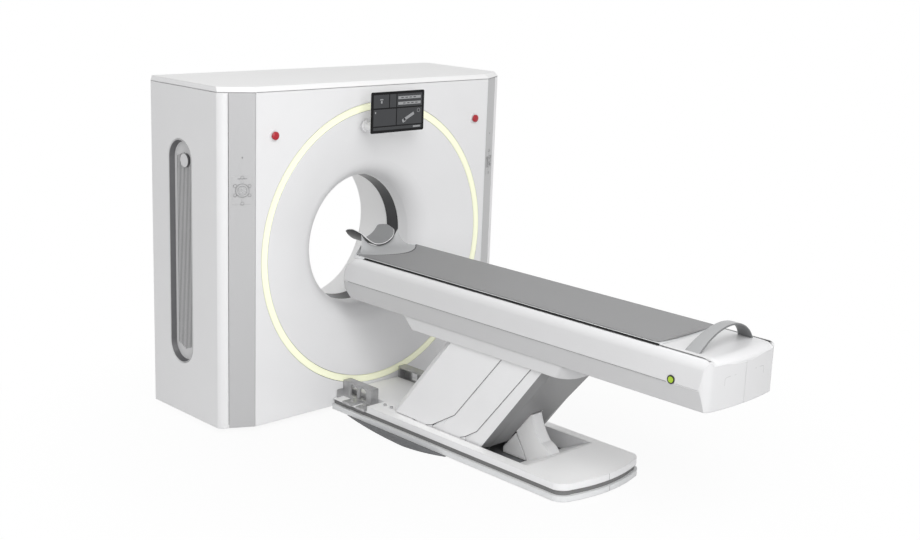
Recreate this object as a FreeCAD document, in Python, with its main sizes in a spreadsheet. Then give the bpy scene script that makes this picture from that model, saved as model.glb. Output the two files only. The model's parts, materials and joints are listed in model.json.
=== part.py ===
import FreeCAD, Part
import os
import re
import Sketcher
from FreeCAD import Rotation, Vector

# A ct scanner: a ring gantry with a dished front, and a patient table on a
# parallelogram lift. Millimetres, +Z up. The origin is the floor point under
# the isocentre; the table stands on the -Y side of the gantry.

SIZES = {
    # gantry outline; every depth is measured back from the front face
    "iso_height": 922,
    "front_distance": 283,
    "gantry_depth": 727,
    "ground_gap": 21,
    "ring_foot": 96,
    "ring_head": 116,
    "ring_margin": 37,
    "bevel_width": 174,
    "bevel_depth": 92,
    "strip_border": 50,
    "strip_wall": 4,
    "corner_radius": 22,
    "corner_bow": 9,
    "cover_wall": 5,
    "seam": 2,
    "lid_depth": 26,
    "lid_inset": 24,
    "lid_side_inset": 7,
    # light ring, dish, scan window and rear funnel
    "ring_width": 38,
    "ring_depth": 14,
    "ring_proud": 3,
    "dish_edge_drop": 0.5,
    "dish_mid_radius": 470,
    "dish_mid_depth": 66,
    "dish_bow": 6,
    "throat_radius": 375,
    "throat_depth": 163,
    "throat_bow": 17,
    "window_front_radius": 370,
    "window_front_depth": 243,
    "window_rear_radius": 359,
    "window_rear_depth": 329,
    "window_wall": 2,
    "flare_radius": 446,
    "flare_depth": 671,
    "flare_bow": 12,
    "mouth_radius": 491,
    "mouth_bow": 6,
    # recess in each side cover
    "recess_centre_depth": 437,
    "recess_half_width": 108,
    "recess_half_height": 616,
    "recess_depth": 28,
    "recess_taper": 11,
    "recess_wall": 4,
    "rib_count": 11,
    "rib_pitch": 13,
    "rib_width": 5,
    "rib_depth": 3,
    "rib_end_gap": 34,
    "rib_end_step": 5,
    "cap_radius": 36,
    "cap_depth": 14,
    "cap_offset": 23,
    "cap_drop": 5,
    # controls on the front
    "stop_inset": 112,
    "stop_drop": 253,
    "stop_bezel_radius": 31,
    "stop_bezel_proud": 6,
    "stop_head_radius": 21.5,
    "stop_head_depth": 12,
    "stop_dome": 5,
    "stop_flat": 2,
    "stop_gap": 6,
    "stop_stem_radius": 9,
    "stop_stem_length": 34,
    "stop_clearance": 1,
    "dial_drop": 530,
    "dial_radius": 32,
    "dial_band": 9,
    "dial_proud": 1.6,
    "key_count": 6,
    "key_radius": 6.5,
    "key_ring_half_height": 47,
    "key_ring_half_width": 43,
    "keypad_wall": 0.8,
    "keypad_half_width": 52,
    "keypad_half_height": 74,
    "key_bar_length": 22,
    "key_bar_height": 60,
    # display on its bracket
    "display_reach": 142,
    "display_half_width": 192,
    "display_drop": 44,
    "display_height": 222,
    "display_depth": 27,
    "display_corner": 9,
    "screen_depth": 4,
    "bracket_offset": 105,
    "bracket_rise": 20,
    "bracket_radius": 34,
    "bracket_arm_radius": 24,
    "bracket_foot_depth": 16,
    # rotor, bearing and stator frame
    "rotor_radius": 790,
    "rotor_hub_radius": 425,
    "rotor_plate_depth": 420,
    "rotor_plate_wall": 30,
    "rotor_rim_wall": 16,
    "rotor_rim_length": 60,
    "bearing_inner_radius": 480,
    "bearing_split_radius": 520,
    "bearing_outer_radius": 560,
    "bearing_gap": 1,
    "bearing_length": 60,
    "frame_plate_depth": 515,
    "frame_plate_wall": 45,
    "frame_side_gap": 111,
    "frame_shoulder_rise": 228,
    "frame_top_half_width": 600,
    "frame_collar": 78,
    "frame_base_wall": 20,
    "frame_base_front": 150,
    "frame_base_rear": 430,
    "gusset_wall": 14,
    "gusset_height": 700,
    "gusset_reach": 330,
    # what the rotor carries
    "focus_radius": 600,
    "tube_radius": 92,
    "tube_height": 652,
    "tube_length": 190,
    "tube_anode_radius": 66,
    "tube_anode_length": 22,
    "collimator_half_width": 90,
    "slit_half_width": 63,
    "collimator_height": 90,
    "collimator_length": 96,
    "detector_distance": 1040,
    "detector_wall": 62,
    "detector_half_width": 470,
    "detector_length": 92,
    "generator_inner": 490,
    "generator_outer": 735,
    "generator_half_height": 135,
    "generator_length": 190,
    "cooler_inner": 490,
    "cooler_outer": 700,
    "cooler_half_height": 160,
    "cooler_length": 170,
    "cooler_fin_count": 9,
    "cooler_fin_wall": 6,
    "cooler_fin_depth": 12,
    "slip_ring_inner": 470,
    "slip_ring_outer": 550,
    "slip_ring_wall": 22,
    "brush_gap": 0.6,
    "brush_half_width": 60,
    "brush_length": 40,
    # rotor drive
    "motor_gap": 13,
    "motor_height": 200,
    "pulley_radius": 60,
    "pulley_hole_radius": 12,
    "pulley_hole_place": 36,
    "pulley_length": 26,
    "belt_wall": 5,
    "belt_width": 20,
    "belt_gap": 0.4,
    "motor_radius": 78,
    "motor_length": 190,
    "motor_shaft_radius": 14,
    # table base; every y below is a distance in front of the isocentre
    "base_start": 286,
    "base_corner": 1950,
    "base_turn": 2012,
    "base_end_bow": 35,
    "base_corner_bow": 15,
    "base_half_width": 305,
    "base_turn_half_width": 238,
    "plate_wall": 6,
    "lip_grow": 6,
    "lip_bottom": 6.5,
    "lip_top": 36,
    "groove_shrink": 9,
    "deck_bottom": 62,
    "deck_top": 98,
    "deck_wall": 5,
    "skirt_wall": 7,
    "bulge_start": 410,
    "bulge_end": 1206,
    "bulge_middle": 950,
    "bulge_half_width": 382,
    "bulge_bow": 14,
    "plate_tuck": 30,
    # pit in the deck
    "pit_half_width": 250,
    "pit_start": 886,
    "pit_end": 1724,
    "pit_floor_end": 1530,
    "pit_wall": 4,
    # anchors at the gantry end of the base
    "notch_end": 574,
    "notch_half_width": 176,
    "anchor_inner": 182,
    "anchor_outer": 236,
    "anchor_front": 288,
    "anchor_rear": 528,
    "anchor_top": 164,
    "anchor_wall": 12,
    "window_sill": 84,
    "window_first": 352,
    "window_width": 56,
    "window_pitch": 78,
    "window_head": 140,
    "window_arch": 14,
    "pad_first": 382,
    "pad_length": 70,
    "pad_pitch": 114,
    "pad_overhang": 15,
    "pad_wall": 14,
    "tab_width": 45,
    "tab_wall": 4,
    "tab_top": 113,
    "anchor_bolt_radius": 9,
    "anchor_bolt_height": 9,
    "deck_bolt_offset": 216,
    "deck_bolt_first": 625,
    "deck_bolt_pitch": 53,
    # parallelogram lift
    "pivot_height": 60,
    "front_pivot": 930,
    "middle_pivot": 1180,
    "rear_pivot": 1330,
    "lean": 39.5,
    "carriage_pivot_height": 655,
    "shaft_radius": 12,
    "shaft_half_length": 212,
    "pivot_clearance": 0.5,
    "open_clearance": 2,
    "lug_wall": 12,
    "lug_half_width": 34,
    "arm_wall": 15,
    "arm_half_height": 22,
    "eye_radius": 24,
    "front_arm_outer": 191,
    "middle_arm_outer": 165,
    "rear_arm_outer": 139,
    "tube_radius_link": 20,
    "front_tube_place": 300,
    "middle_tube_place": 120,
    "rear_tube_place": 430,
    "wing_place": 480,
    "wing_wall": 20,
    "heel_block_place": 600,
    "heel_block_length": 40,
    # nested covers of the lift, measured along and across each link
    "cover_sheet": 3,
    "cover_dip": 18,
    "cover_play": 4,
    "front_cover_half": 242,
    "middle_cover_half": 238,
    "rear_cover_half": 234,
    "front_plate_reach": 204,
    "front_cover_chamfer": 34,
    "front_seam": 112,
    "front_foot": 87,
    "front_heel": 101,
    "front_heel_reach": 47,
    "front_bend": 286,
    "front_plate_top": 545,
    "front_seam_top": 965,
    "pit_play": 14,
    "middle_front": 101,
    "middle_front_foot": 20,
    "middle_seam": 71,
    "middle_heel": 104,
    "middle_heel_reach": 41,
    "middle_bend": 196,
    "middle_front_top": 650,
    "middle_seam_top": 880,
    "rear_front": 60,
    "rear_seam": 4,
    "rear_seam_foot": 31,
    "rear_face": 36.5,
    "rear_face_half": 209,
    "rear_face_half_foot": 152,
    "rear_front_top": 680,
    "rear_face_top": 775,
    "arm_slot_half": 41,
    "arm_slot_top": 312,
    # curved shroud over the lift arm, in two pieces; its back is an arc round the rear pivot
    "shroud_play": 8,
    "shroud_side_play": 4,
    "shroud_gap": 5,
    "shroud_front": 1362,
    "shroud_front_height": 40,
    "shroud_seam_top": 1447,
    "shroud_seam_height": 138,
    "shroud_seam_foot": 1527,
    "shroud_seam_foot_height": 24,
    "shroud_crown": 1500,
    "shroud_crown_height": 272,
    "shroud_nose": 1418,
    "shroud_nose_height": 196,
    "shroud_tip_angle": 47,
    "shroud_waist_angle": 76,
    "shroud_heel": 1690,
    "shroud_heel_bow": 8,
    # carriage under the table
    "carriage_half_width": 252,
    "carriage_wall": 6,
    "carriage_bottom": 596,
    "carriage_front": 795,
    "carriage_front_foot": 861,
    "carriage_rear": 1984,
    "carriage_rear_foot": 1953,
    "carriage_corner": 90,
    "lug_top": 805,
    "lug_start": 1372,
    "lug_end": 1844,
    "frame_top_wall": 12,
    "table_frame_start": 396,
    "table_frame_end": 2600,
    "table_frame_half_width": 226,
    "rail_height": 32,
    "rail_width": 22,
    "rail_offset": 140,
    "shoe_length": 120,
    "shoe_pitch": 420,
    "shoe_wall": 8,
    # table housing
    "housing_bottom": 662,
    "housing_bottom_half": 257,
    "crease_height": 757,
    "crease_half": 272,
    "crease_notch": 1.5,
    "shoulder_height": 838,
    "shoulder_half": 266,
    "shoulder_bow": 5,
    "slot_half": 244,
    "housing_top": 896,
    "housing_wall": 5,
    "housing_front": 318,
    "housing_front_foot": 365,
    "housing_front_sill": 712,
    "housing_front_top": 812,
    "housing_top_start": 440,
    "front_roll": 22,
    "housing_side_end": 2700,
    "housing_turn": 2750,
    "housing_turn_half": 224,
    "housing_end_bow": 15,
    "housing_turn_bow": 12,
    "housing_opening_start": 770,
    "housing_opening_end": 1905,
    "foot_roll": 58,
    # sliding tabletop
    "cradle_half": 229,
    "cradle_edge": 903,
    "cradle_side": 884,
    "cradle_belly": 30,
    "cradle_hollow": 9,
    "cradle_rim": 5,
    "cradle_start": 350,
    "cradle_end": 2456,
    "cradle_clearance": 6,
    "mat_half": 222,
    "mat_start": 362,
    "mat_end": 2440,
    "mat_wall": 5,
    "mat_crown": 3,
    "mat_gap": 0.3,
    "mat_corner": 20,
    "foot_cover_half": 226,
    "foot_cover_top": 899,
    "foot_cover_bottom": 869,
    "foot_cover_start": 2458,
    "foot_cover_wall": 6,
    "foot_seam": 0.6,
    "foot_cover_turn_half": 200,
    "handle_half": 206,
    "handle_near": 2573,
    "handle_far": 2655,
    "handle_top_near": 2612,
    "handle_top_far": 2674,
    "handle_top": 1005,
    "handle_wall": 10,
    # head holder and its neck
    "neck_end": 258,
    "neck_half": 98,
    "neck_belly": 18,
    "neck_top": 925,
    "neck_root_half": 220,
    "neck_root_belly": 28,
    "neck_root_top": 900,
    "holder_start": 312,
    "holder_end": 146,
    "holder_floor_end": 236,
    "holder_half": 128,
    "holder_rim": 1014,
    "holder_bottom": 905,
    "holder_wall": 7,
    "holder_tip_low": 986,
    "holder_tip_top": 996,
    "holder_shoulder": 288,
    "holder_shoulder_height": 988,
    "holder_front_height": 950,
    "holder_top_bow": 13,
    "holder_sweep": 12,
    # buttons on the table
    "button_place": 2560,
    "button_height": 772,
    "button_radius": 14,
    "button_depth": 12,
    "button_proud": 4,
    "button_ring_radius": 20,
    "button_ring_proud": 2,
    "button_face": 271,
    "button_clearance": 0.6,
}

# Values that follow from the sizes; any formula may use their names.
DERIVED = {
    "ring_outer": "iso_height - ground_gap - ring_foot",
    "ring_inner": "ring_outer - ring_width",
    "front_half_width": "ring_outer + ring_margin",
    "gantry_half_width": "front_half_width + bevel_width",
    "gantry_height": "iso_height + ring_outer + ring_head",
    "cover_top": "gantry_height - lid_depth - seam",
    "strip_outer_half_width": "gantry_half_width - strip_border",
    "bevel_length": "sqrt(bevel_width^2 + bevel_depth^2)",
    "stop_offset": "front_half_width - stop_inset",
    "stop_height": "gantry_height - stop_drop",
    "dial_height": "gantry_height - dial_drop",
    "display_top": "gantry_height - display_drop",
    "display_bottom": "display_top - display_height",
    "bracket_height": "display_bottom + bracket_rise",
    "cap_height": "iso_height + recess_half_height - recess_half_width - cap_drop",
    "frame_half_width": "gantry_half_width - frame_side_gap",
    "frame_shoulder_height": "iso_height + frame_shoulder_rise",
    "frame_top_height": "iso_height + bearing_outer_radius + frame_collar",
    "motor_offset": "frame_half_width - gusset_wall - motor_gap - motor_radius",
    "pad_outer": "base_half_width + pad_overhang",
    "shroud_half_width": "arm_slot_half - shroud_side_play",
    "shroud_radius": "arm_slot_top - shroud_play",
    "cover_foot": "deck_top - cover_dip - pivot_height",
    "housing_end": "housing_turn + housing_end_bow + seam",
}

doc = FreeCAD.newDocument("ct_scanner")
sheet = doc.addObject("Spreadsheet::Sheet", "Sizes")
for row, (alias, size) in enumerate(SIZES.items(), start=1):
    sheet.set(f"A{row}", alias)
    sheet.set(f"B{row}", str(size))
    sheet.setAlias(f"B{row}", alias)
doc.recompute()

WORD = re.compile(r"[A-Za-z_][A-Za-z_0-9]*")
NODES = []


# ---- drawing helpers -------------------------------------------------------

def bound(formula):
    """A formula with each size written as its cell in the sheet."""
    def cell(found):
        word = found[0]
        if word in DERIVED:
            return f"({bound(DERIVED[word])})"
        return "Sizes." + word if word in SIZES else word
    return WORD.sub(cell, formula)


def measure(formula):
    """The present value of a formula."""
    return float(sheet.evalExpression(bound(formula)))


def drive(thing, **formulas):
    """Bind properties of an object to formulas; x_to, y_to and z_to place it."""
    places = {"x_to": "Placement.Base.x", "y_to": "Placement.Base.y", "z_to": "Placement.Base.z"}
    for key, formula in formulas.items():
        thing.setExpression(places.get(key, key), bound(formula))
    return thing


def node(thing, name):
    """Name a finished sub-part and keep it for the checks and the export."""
    thing.Label = name
    NODES.append(thing)
    return thing


def arc(start, stop, bow):
    """A corner whose side to the next corner bulges by bow to the right of its way."""
    across = f"sqrt(({stop[0]} - ({start[0]}))^2 + ({stop[1]} - ({start[1]}))^2)"
    via_x = f"({start[0]} + {stop[0]}) / 2 + ({bow}) * ({stop[1]} - ({start[1]})) / {across}"
    via_y = f"({start[1]} + {stop[1]}) / 2 - ({bow}) * ({stop[0]} - ({start[0]})) / {across}"
    return (start[0], start[1], via_x, via_y)


def quarter(radius):
    """The bow of a quarter round."""
    return f"({radius}) * (1 - cos(45))"


def box_outline(left, right, low, high):
    return [(left, low), (right, low), (right, high), (left, high)]


def mirrored_outline(half):
    """Close a right-hand chain of corners with its mirror image in X.

    A corner may carry a third entry, the bow of the side that follows it."""
    right = [(corner[0], corner[1]) for corner in half]
    bows = [corner[2] if len(corner) == 3 else None for corner in half]
    left = [(f"-({x})", y) for x, y in reversed(right)]
    chain = right + left
    inner = list(reversed(bows[:-1]))
    bows = bows + inner + [None]
    outline = []
    for place, corner in enumerate(chain):
        following = chain[(place + 1) % len(chain)]
        bow = bows[place]
        outline.append(corner if bow is None else arc(corner, following, bow))
    return outline


def origin_plane(body, role):
    return next(feature for feature in body.Origin.OriginFeatures if feature.Role == role)


def fix_point(sketch, shape, end, corner):
    """Hold one point of a sketch at the formulas of a corner."""
    for kind, formula in zip(("DistanceX", "DistanceY"), corner):
        rule = Sketcher.Constraint(kind, -1, 1, shape, end, measure(formula))
        drive(sketch, **{f"Constraints[{sketch.addConstraint(rule)}]": formula})


def draw_circle(sketch, x, y, radius):
    circle = Part.Circle(Vector(measure(x), measure(y), 0), Vector(0, 0, 1), measure(radius))
    shape = sketch.addGeometry(circle)
    fix_point(sketch, shape, 3, (x, y))
    rule = sketch.addConstraint(Sketcher.Constraint("Radius", shape, measure(radius)))
    drive(sketch, **{f"Constraints[{rule}]": radius})


def draw_side(sketch, corner, following):
    """Draw one side of an outline and tell which of its ends comes first."""
    here = Vector(measure(corner[0]), measure(corner[1]), 0)
    there = Vector(measure(following[0]), measure(following[1]), 0)
    if len(corner) == 2:
        return sketch.addGeometry(Part.LineSegment(here, there)), 1
    via = Vector(measure(corner[2]), measure(corner[3]), 0)
    anticlockwise = (via - here).cross(there - via).z > 0
    ends = (here, there) if anticlockwise else (there, here)
    shape = sketch.addGeometry(Part.Arc(ends[0], via, ends[1]))
    mark = sketch.addGeometry(Part.Point(via), True)
    fix_point(sketch, mark, 1, corner[2:])
    sketch.addConstraint(Sketcher.Constraint("PointOnObject", mark, 1, shape))
    return shape, 1 if anticlockwise else 2


def draw_outline(sketch, outline):
    sides = []
    for place, corner in enumerate(outline):
        sides.append(draw_side(sketch, corner, outline[(place + 1) % len(outline)]))
    for place, (shape, first) in enumerate(sides):
        before, before_first = sides[place - 1]
        rule = Sketcher.Constraint("Coincident", before, 3 - before_first, shape, first)
        sketch.addConstraint(rule)
        fix_point(sketch, shape, first, outline[place][:2])


def draw(body, role, outlines, offset):
    """A sketch of outlines and circles on one origin plane, moved along its normal."""
    sketch = body.newObject("Sketcher::SketchObject", body.Name + "_outline")
    sketch.AttachmentSupport = [(origin_plane(body, role), "")]
    sketch.MapMode = "FlatFace"
    drive(sketch, **{"AttachmentOffset.Base.z": offset})
    for outline in outlines:
        if outline[0] == "circle":
            draw_circle(sketch, *outline[1:])
        else:
            draw_outline(sketch, outline)
    return sketch


def slab(name, role, outlines, start, stop):
    """Outlines on a plane, padded from start to stop along +X, +Y or +Z."""
    body = doc.addObject("PartDesign::Body", name)
    offset = f"-({stop})" if role == "XZ_Plane" else start
    sketch = draw(body, role, outlines, offset)
    pad = body.newObject("PartDesign::Pad", name + "_pad")
    pad.Profile = sketch
    drive(pad, Length=f"{stop} - ({start})")
    doc.recompute()
    return body


def turned(name, outline, x="0", z="iso_height"):
    """A (y, radius) outline turned about a line along Y."""
    body = doc.addObject("PartDesign::Body", name)
    sketch = draw(body, "YZ_Plane", [outline], "0")
    turn = body.newObject("PartDesign::Revolution", name + "_turn")
    turn.Profile = sketch
    turn.ReferenceAxis = (sketch, ["H_Axis"])
    turn.Angle = 360
    doc.recompute()
    return drive(body, x_to=x, z_to=z)


def lofted(name, role, sections):
    """A straight-sided loft through (outline, offset) sections."""
    body = doc.addObject("PartDesign::Body", name)
    sketches = [draw(body, role, [outline], offset) for outline, offset in sections]
    loft = body.newObject("PartDesign::AdditiveLoft", name + "_loft")
    loft.Profile = sketches[0]
    loft.Sections = sketches[1:]
    loft.Ruled = True
    doc.recompute()
    return body


def block(name, x, y, z):
    """A box from the (low, high) formulas of each axis."""
    box = doc.addObject("Part::Box", name)
    drive(box, x_to=x[0], y_to=y[0], z_to=z[0])
    return drive(box, Length=f"{x[1]} - ({x[0]})", Width=f"{y[1]} - ({y[0]})",
                 Height=f"{z[1]} - ({z[0]})")


ALONG = {
    "X": Rotation(Vector(0, 1, 0), 90),
    "Y": Rotation(Vector(1, 0, 0), -90),
    "Z": Rotation(),
}


def rod(name, axis, start, length, radius):
    """A cylinder that starts at a point and runs along +X, +Y or +Z."""
    cylinder = doc.addObject("Part::Cylinder", name)
    cylinder.Placement.Rotation = ALONG[axis]
    drive(cylinder, x_to=start[0], y_to=start[1], z_to=start[2])
    return drive(cylinder, Height=length, Radius=radius)


def tube(name, axis, start, length, outer, inner):
    return cut(name, rod(name + "_outer", axis, start, length, outer),
               rod(name + "_bore", axis, start, length, inner))


def cut(name, base, tool):
    result = doc.addObject("Part::Cut", name)
    result.Base = base
    result.Tool = tool
    return result


def fused(name, pieces):
    result = doc.addObject("Part::MultiFuse", name)
    result.Shapes = pieces
    result.Refine = True
    return result


def shared(name, pieces):
    result = doc.addObject("Part::MultiCommon", name)
    result.Shapes = pieces
    return result


def grouped(name, pieces):
    result = doc.addObject("Part::Compound", name)
    result.Links = pieces
    return result


def mirrored(name, source):
    result = doc.addObject("Part::Mirroring", name)
    result.Source = source
    result.Normal = Vector(1, 0, 0)
    return result


def both_sides(name, source):
    """A piece and its mirror image as one group of separate solids."""
    return grouped(name, [source, mirrored(name + "_mirrored", source)])


def pair_of_nodes(name, right):
    """A right-hand sub-part and its left-hand mirror image."""
    node(right, "right_" + name)
    node(mirrored("left_" + name, right), "left_" + name)


def on_link(thing, pivot):
    """Stand a piece drawn upright at the origin on the leaning link of one pivot."""
    drive(thing, y_to=f"-{pivot}", z_to="pivot_height")
    axis = {"Placement.Rotation.Axis.x": "1", "Placement.Rotation.Axis.z": "0"}
    return drive(thing, **{**axis, "Placement.Rotation.Angle": "lean"})


# ---- places that several pieces share --------------------------------------

FRONT = "-front_distance"
BACK = "gantry_depth - front_distance"
ISO = "iso_height"
LINK_LENGTH = "((carriage_pivot_height - pivot_height) / cos(lean))"
LINK_SHIFT = "((carriage_pivot_height - pivot_height) * tan(lean))"


def depth(formula):
    """The y of a depth behind the front face."""
    return f"({formula} - front_distance)"


def bevel(half_width, inward="0"):
    """A point of the bevel plane in plan, moved inward by a wall."""
    x = f"({half_width} - ({inward}) * bevel_depth / bevel_length)"
    y = f"(bevel_depth * ({half_width} - front_half_width) / bevel_width"
    return x, y + f" + ({inward}) * bevel_width / bevel_length - front_distance)"


def stadium(half_width, half_height):
    """An upright slot outline in (y, z), centred on the side recess."""
    centre = depth("recess_centre_depth")
    left = f"({centre} - ({half_width}))"
    right = f"({centre} + ({half_width}))"
    low = f"(iso_height - ({half_height}) + ({half_width}))"
    high = f"(iso_height + ({half_height}) - ({half_width}))"
    return [(right, low), arc((right, high), (left, high), half_width),
            (left, high), arc((left, low), (right, low), half_width)]


# ---- gantry covers ---------------------------------------------------------

def make_front_cover():
    panel = box_outline("-front_half_width", "front_half_width", "ground_gap", "cover_top")
    hole = ("circle", "0", ISO, f"ring_outer + seam")
    stops = [("circle", f"{side}stop_offset", "stop_height", "stop_stem_radius + stop_clearance")
             for side in ("", "-")]
    cover = slab("front_panel", "XZ_Plane", [panel, hole] + stops, FRONT, depth("cover_wall"))
    face = f"({FRONT} - stop_bezel_proud)"
    bore = "stop_stem_radius + stop_clearance"
    outline = [(FRONT, bore), (face, bore), (face, "stop_bezel_radius - stop_bezel_proud / 2"),
               (FRONT, "stop_bezel_radius")]
    bezel = turned("stop_bezel", outline, "stop_offset", "stop_height")
    node(fused("front_cover", [cover, bezel, mirrored("stop_bezel_left", bezel)]), "front_cover")


def make_light_ring():
    front = (FRONT, "ring_inner")
    rear = depth("ring_depth")
    outline = [(rear, "ring_inner"), (rear, "ring_outer"),
               arc((FRONT, "ring_outer"), front, "-ring_proud"), front]
    node(turned("light_ring", outline), "light_ring")


def make_bore_funnel():
    edge_radius = f"ring_inner - seam"
    end = depth("window_front_depth - seam")
    edge = (depth("dish_edge_drop"), edge_radius)
    middle = (depth("dish_mid_depth"), "dish_mid_radius")
    throat = (depth("throat_depth"), "throat_radius")
    back_throat = (depth("throat_depth"), "throat_radius + cover_wall")
    back_middle = (depth("dish_mid_depth + cover_wall"), "dish_mid_radius + cover_wall / 2")
    outline = [arc(edge, middle, "dish_bow"), arc(middle, throat, "throat_bow"), throat,
               (end, "window_front_radius"), (end, "window_front_radius + cover_wall"),
               arc(back_throat, back_middle, "-throat_bow"),
               arc(back_middle, (depth("cover_wall"), edge_radius), "-dish_bow"),
               (depth("cover_wall"), edge_radius)]
    node(turned("bore_funnel", outline), "bore_funnel")


def make_scan_window():
    front = depth("window_front_depth")
    rear = depth("window_rear_depth")
    outline = [(front, "window_front_radius"), (rear, "window_rear_radius"),
               (rear, "window_rear_radius + window_wall"), (front, "window_front_radius + window_wall")]
    node(turned("scan_window", outline), "scan_window")


def make_rear_funnel():
    start = (depth("window_rear_depth + seam"), "window_rear_radius")
    flare = (depth("flare_depth"), "flare_radius")
    mouth = (BACK, "mouth_radius")
    back_mouth = (BACK, "mouth_radius + cover_wall")
    back_flare = (depth("flare_depth - cover_wall"), "flare_radius + cover_wall")
    back_start = (start[0], "window_rear_radius + cover_wall")
    outline = [arc(start, flare, "-flare_bow"), arc(flare, mouth, "-mouth_bow"), mouth,
               arc(back_mouth, back_flare, "mouth_bow"), arc(back_flare, back_start, "flare_bow"),
               back_start]
    node(turned("rear_funnel", outline), "rear_funnel")


def make_rear_cover():
    edge = "(gantry_half_width - corner_radius - seam)"
    panel = box_outline(f"-{edge}", edge, "ground_gap", "cover_top")
    hole = ("circle", "0", ISO, "mouth_radius + cover_wall + seam")
    cover = slab("rear_cover", "XZ_Plane", [panel, hole], depth("gantry_depth - cover_wall"), BACK)
    node(cover, "rear_cover")


def make_side_covers():
    start = bevel("(strip_outer_half_width + seam)")
    inner_start = bevel("(strip_outer_half_width + seam)", "cover_wall")
    shoulder = ("gantry_half_width", depth("bevel_depth + corner_bow"))
    inner_shoulder = ("gantry_half_width - cover_wall", depth("bevel_depth + corner_bow"))
    side_end = ("gantry_half_width", depth("gantry_depth - corner_radius"))
    back_end = ("gantry_half_width - corner_radius", BACK)
    inner_back = ("gantry_half_width - corner_radius", depth("gantry_depth - cover_wall"))
    inner_side = ("gantry_half_width - cover_wall", depth("gantry_depth - corner_radius"))
    corner_turn = quarter("corner_radius")
    outline = [arc(start, shoulder, "corner_bow"), shoulder, arc(side_end, back_end, corner_turn),
               back_end,
               arc(inner_back, inner_side, "-" + quarter("corner_radius - cover_wall")), inner_side,
               arc(inner_shoulder, inner_start, "-corner_bow"), inner_start]
    shell = slab("side_shell", "XY_Plane", [outline], "ground_gap", "cover_top")
    hole = slab("side_hole", "YZ_Plane", [stadium("recess_half_width", "recess_half_height")],
                "gantry_half_width - 2 * corner_radius", "gantry_half_width + corner_radius")
    pair_of_nodes("side_cover", cut("right_side_cover", shell, hole))


def make_recess_pans():
    """A tapered tray behind the slot, with fine upright ribs on its floor."""
    back = "(gantry_half_width - recess_depth - recess_wall)"
    floor = "(gantry_half_width - recess_depth)"
    mouth = "(recess_half_width - seam)"
    mouth_height = "(recess_half_height - seam)"
    outer = lofted("pan_outer", "YZ_Plane", [
        (stadium(f"{mouth} - recess_taper", f"{mouth_height} - recess_taper"), back),
        (stadium(mouth, mouth_height), "gantry_half_width")])
    inner = lofted("pan_inner", "YZ_Plane", [
        (stadium(f"{mouth} - recess_taper - recess_wall", f"{mouth_height} - recess_taper - recess_wall"),
         floor),
        (stadium(f"{mouth} - recess_wall", f"{mouth_height} - recess_wall"), "gantry_half_width")])
    ribs = []
    for count in range(int(measure("rib_count"))):
        middle = f"({depth('recess_centre_depth')} + ({count} - (rib_count - 1) / 2) * rib_pitch)"
        step = f"abs({count} - (rib_count - 1) / 2) * rib_end_step"
        reach = f"(recess_half_height - recess_half_width + rib_end_gap - {step})"
        ribs.append(block(f"rib_{count}", (f"{floor} - 1", f"{floor} + rib_depth"),
                          (f"{middle} - rib_width / 2", f"{middle} + rib_width / 2"),
                          (f"iso_height - {reach}", f"iso_height + {reach}")))
    pan = cut("pan_shell", outer, inner)
    place = depth("recess_centre_depth - cap_offset")
    cap = rod("recess_cap", "X", (floor, place, "cap_height"), "rib_depth + cap_depth", "cap_radius")
    node(both_sides("recess_pans", fused("recess_pan", [pan, cap] + ribs)), "recess_pans")


def plan_outline(inset, side_inset):
    """The gantry in plan; inset moves the front and the bevels, side_inset the rest."""
    front_y = depth(inset)
    near = (f"front_half_width - ({inset}) * tan(atan(bevel_depth / bevel_width) / 2)", front_y)
    slope = f"({side_inset}) * bevel_depth / bevel_width"
    far = (f"gantry_half_width - ({side_inset})",
           depth(f"bevel_depth - {slope} + ({inset}) * bevel_length / bevel_width"))
    side = (f"gantry_half_width - ({side_inset})", depth("gantry_depth - corner_radius"))
    back = ("gantry_half_width - corner_radius", depth(f"gantry_depth - ({side_inset})"))
    return mirrored_outline([near, far, (*side, quarter(f"corner_radius - ({side_inset})")), back])


def make_top_cover():
    low = "cover_top + seam"
    lid = lofted("lid_outer", "XY_Plane", [(plan_outline("0", "0"), low),
                                           (plan_outline("lid_inset", "lid_side_inset"),
                                            "gantry_height")])
    hollow = slab("lid_hollow", "XY_Plane",
                  [plan_outline("lid_inset + cover_wall", "lid_side_inset + cover_wall")],
                  low, "gantry_height - cover_wall")
    node(cut("top_cover", lid, hollow), "top_cover")


def make_control_strips():
    inner = "(front_half_width + seam)"
    outline = [bevel(inner), bevel("strip_outer_half_width"),
               bevel("strip_outer_half_width", "strip_wall"),
               bevel(inner, "strip_wall")]
    strip = slab("control_strip", "XY_Plane", [outline], "ground_gap", "cover_top")
    node(both_sides("control_strips", fused("control_strip_keys", [strip, make_keypad()])),
         "control_strips")


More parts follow.
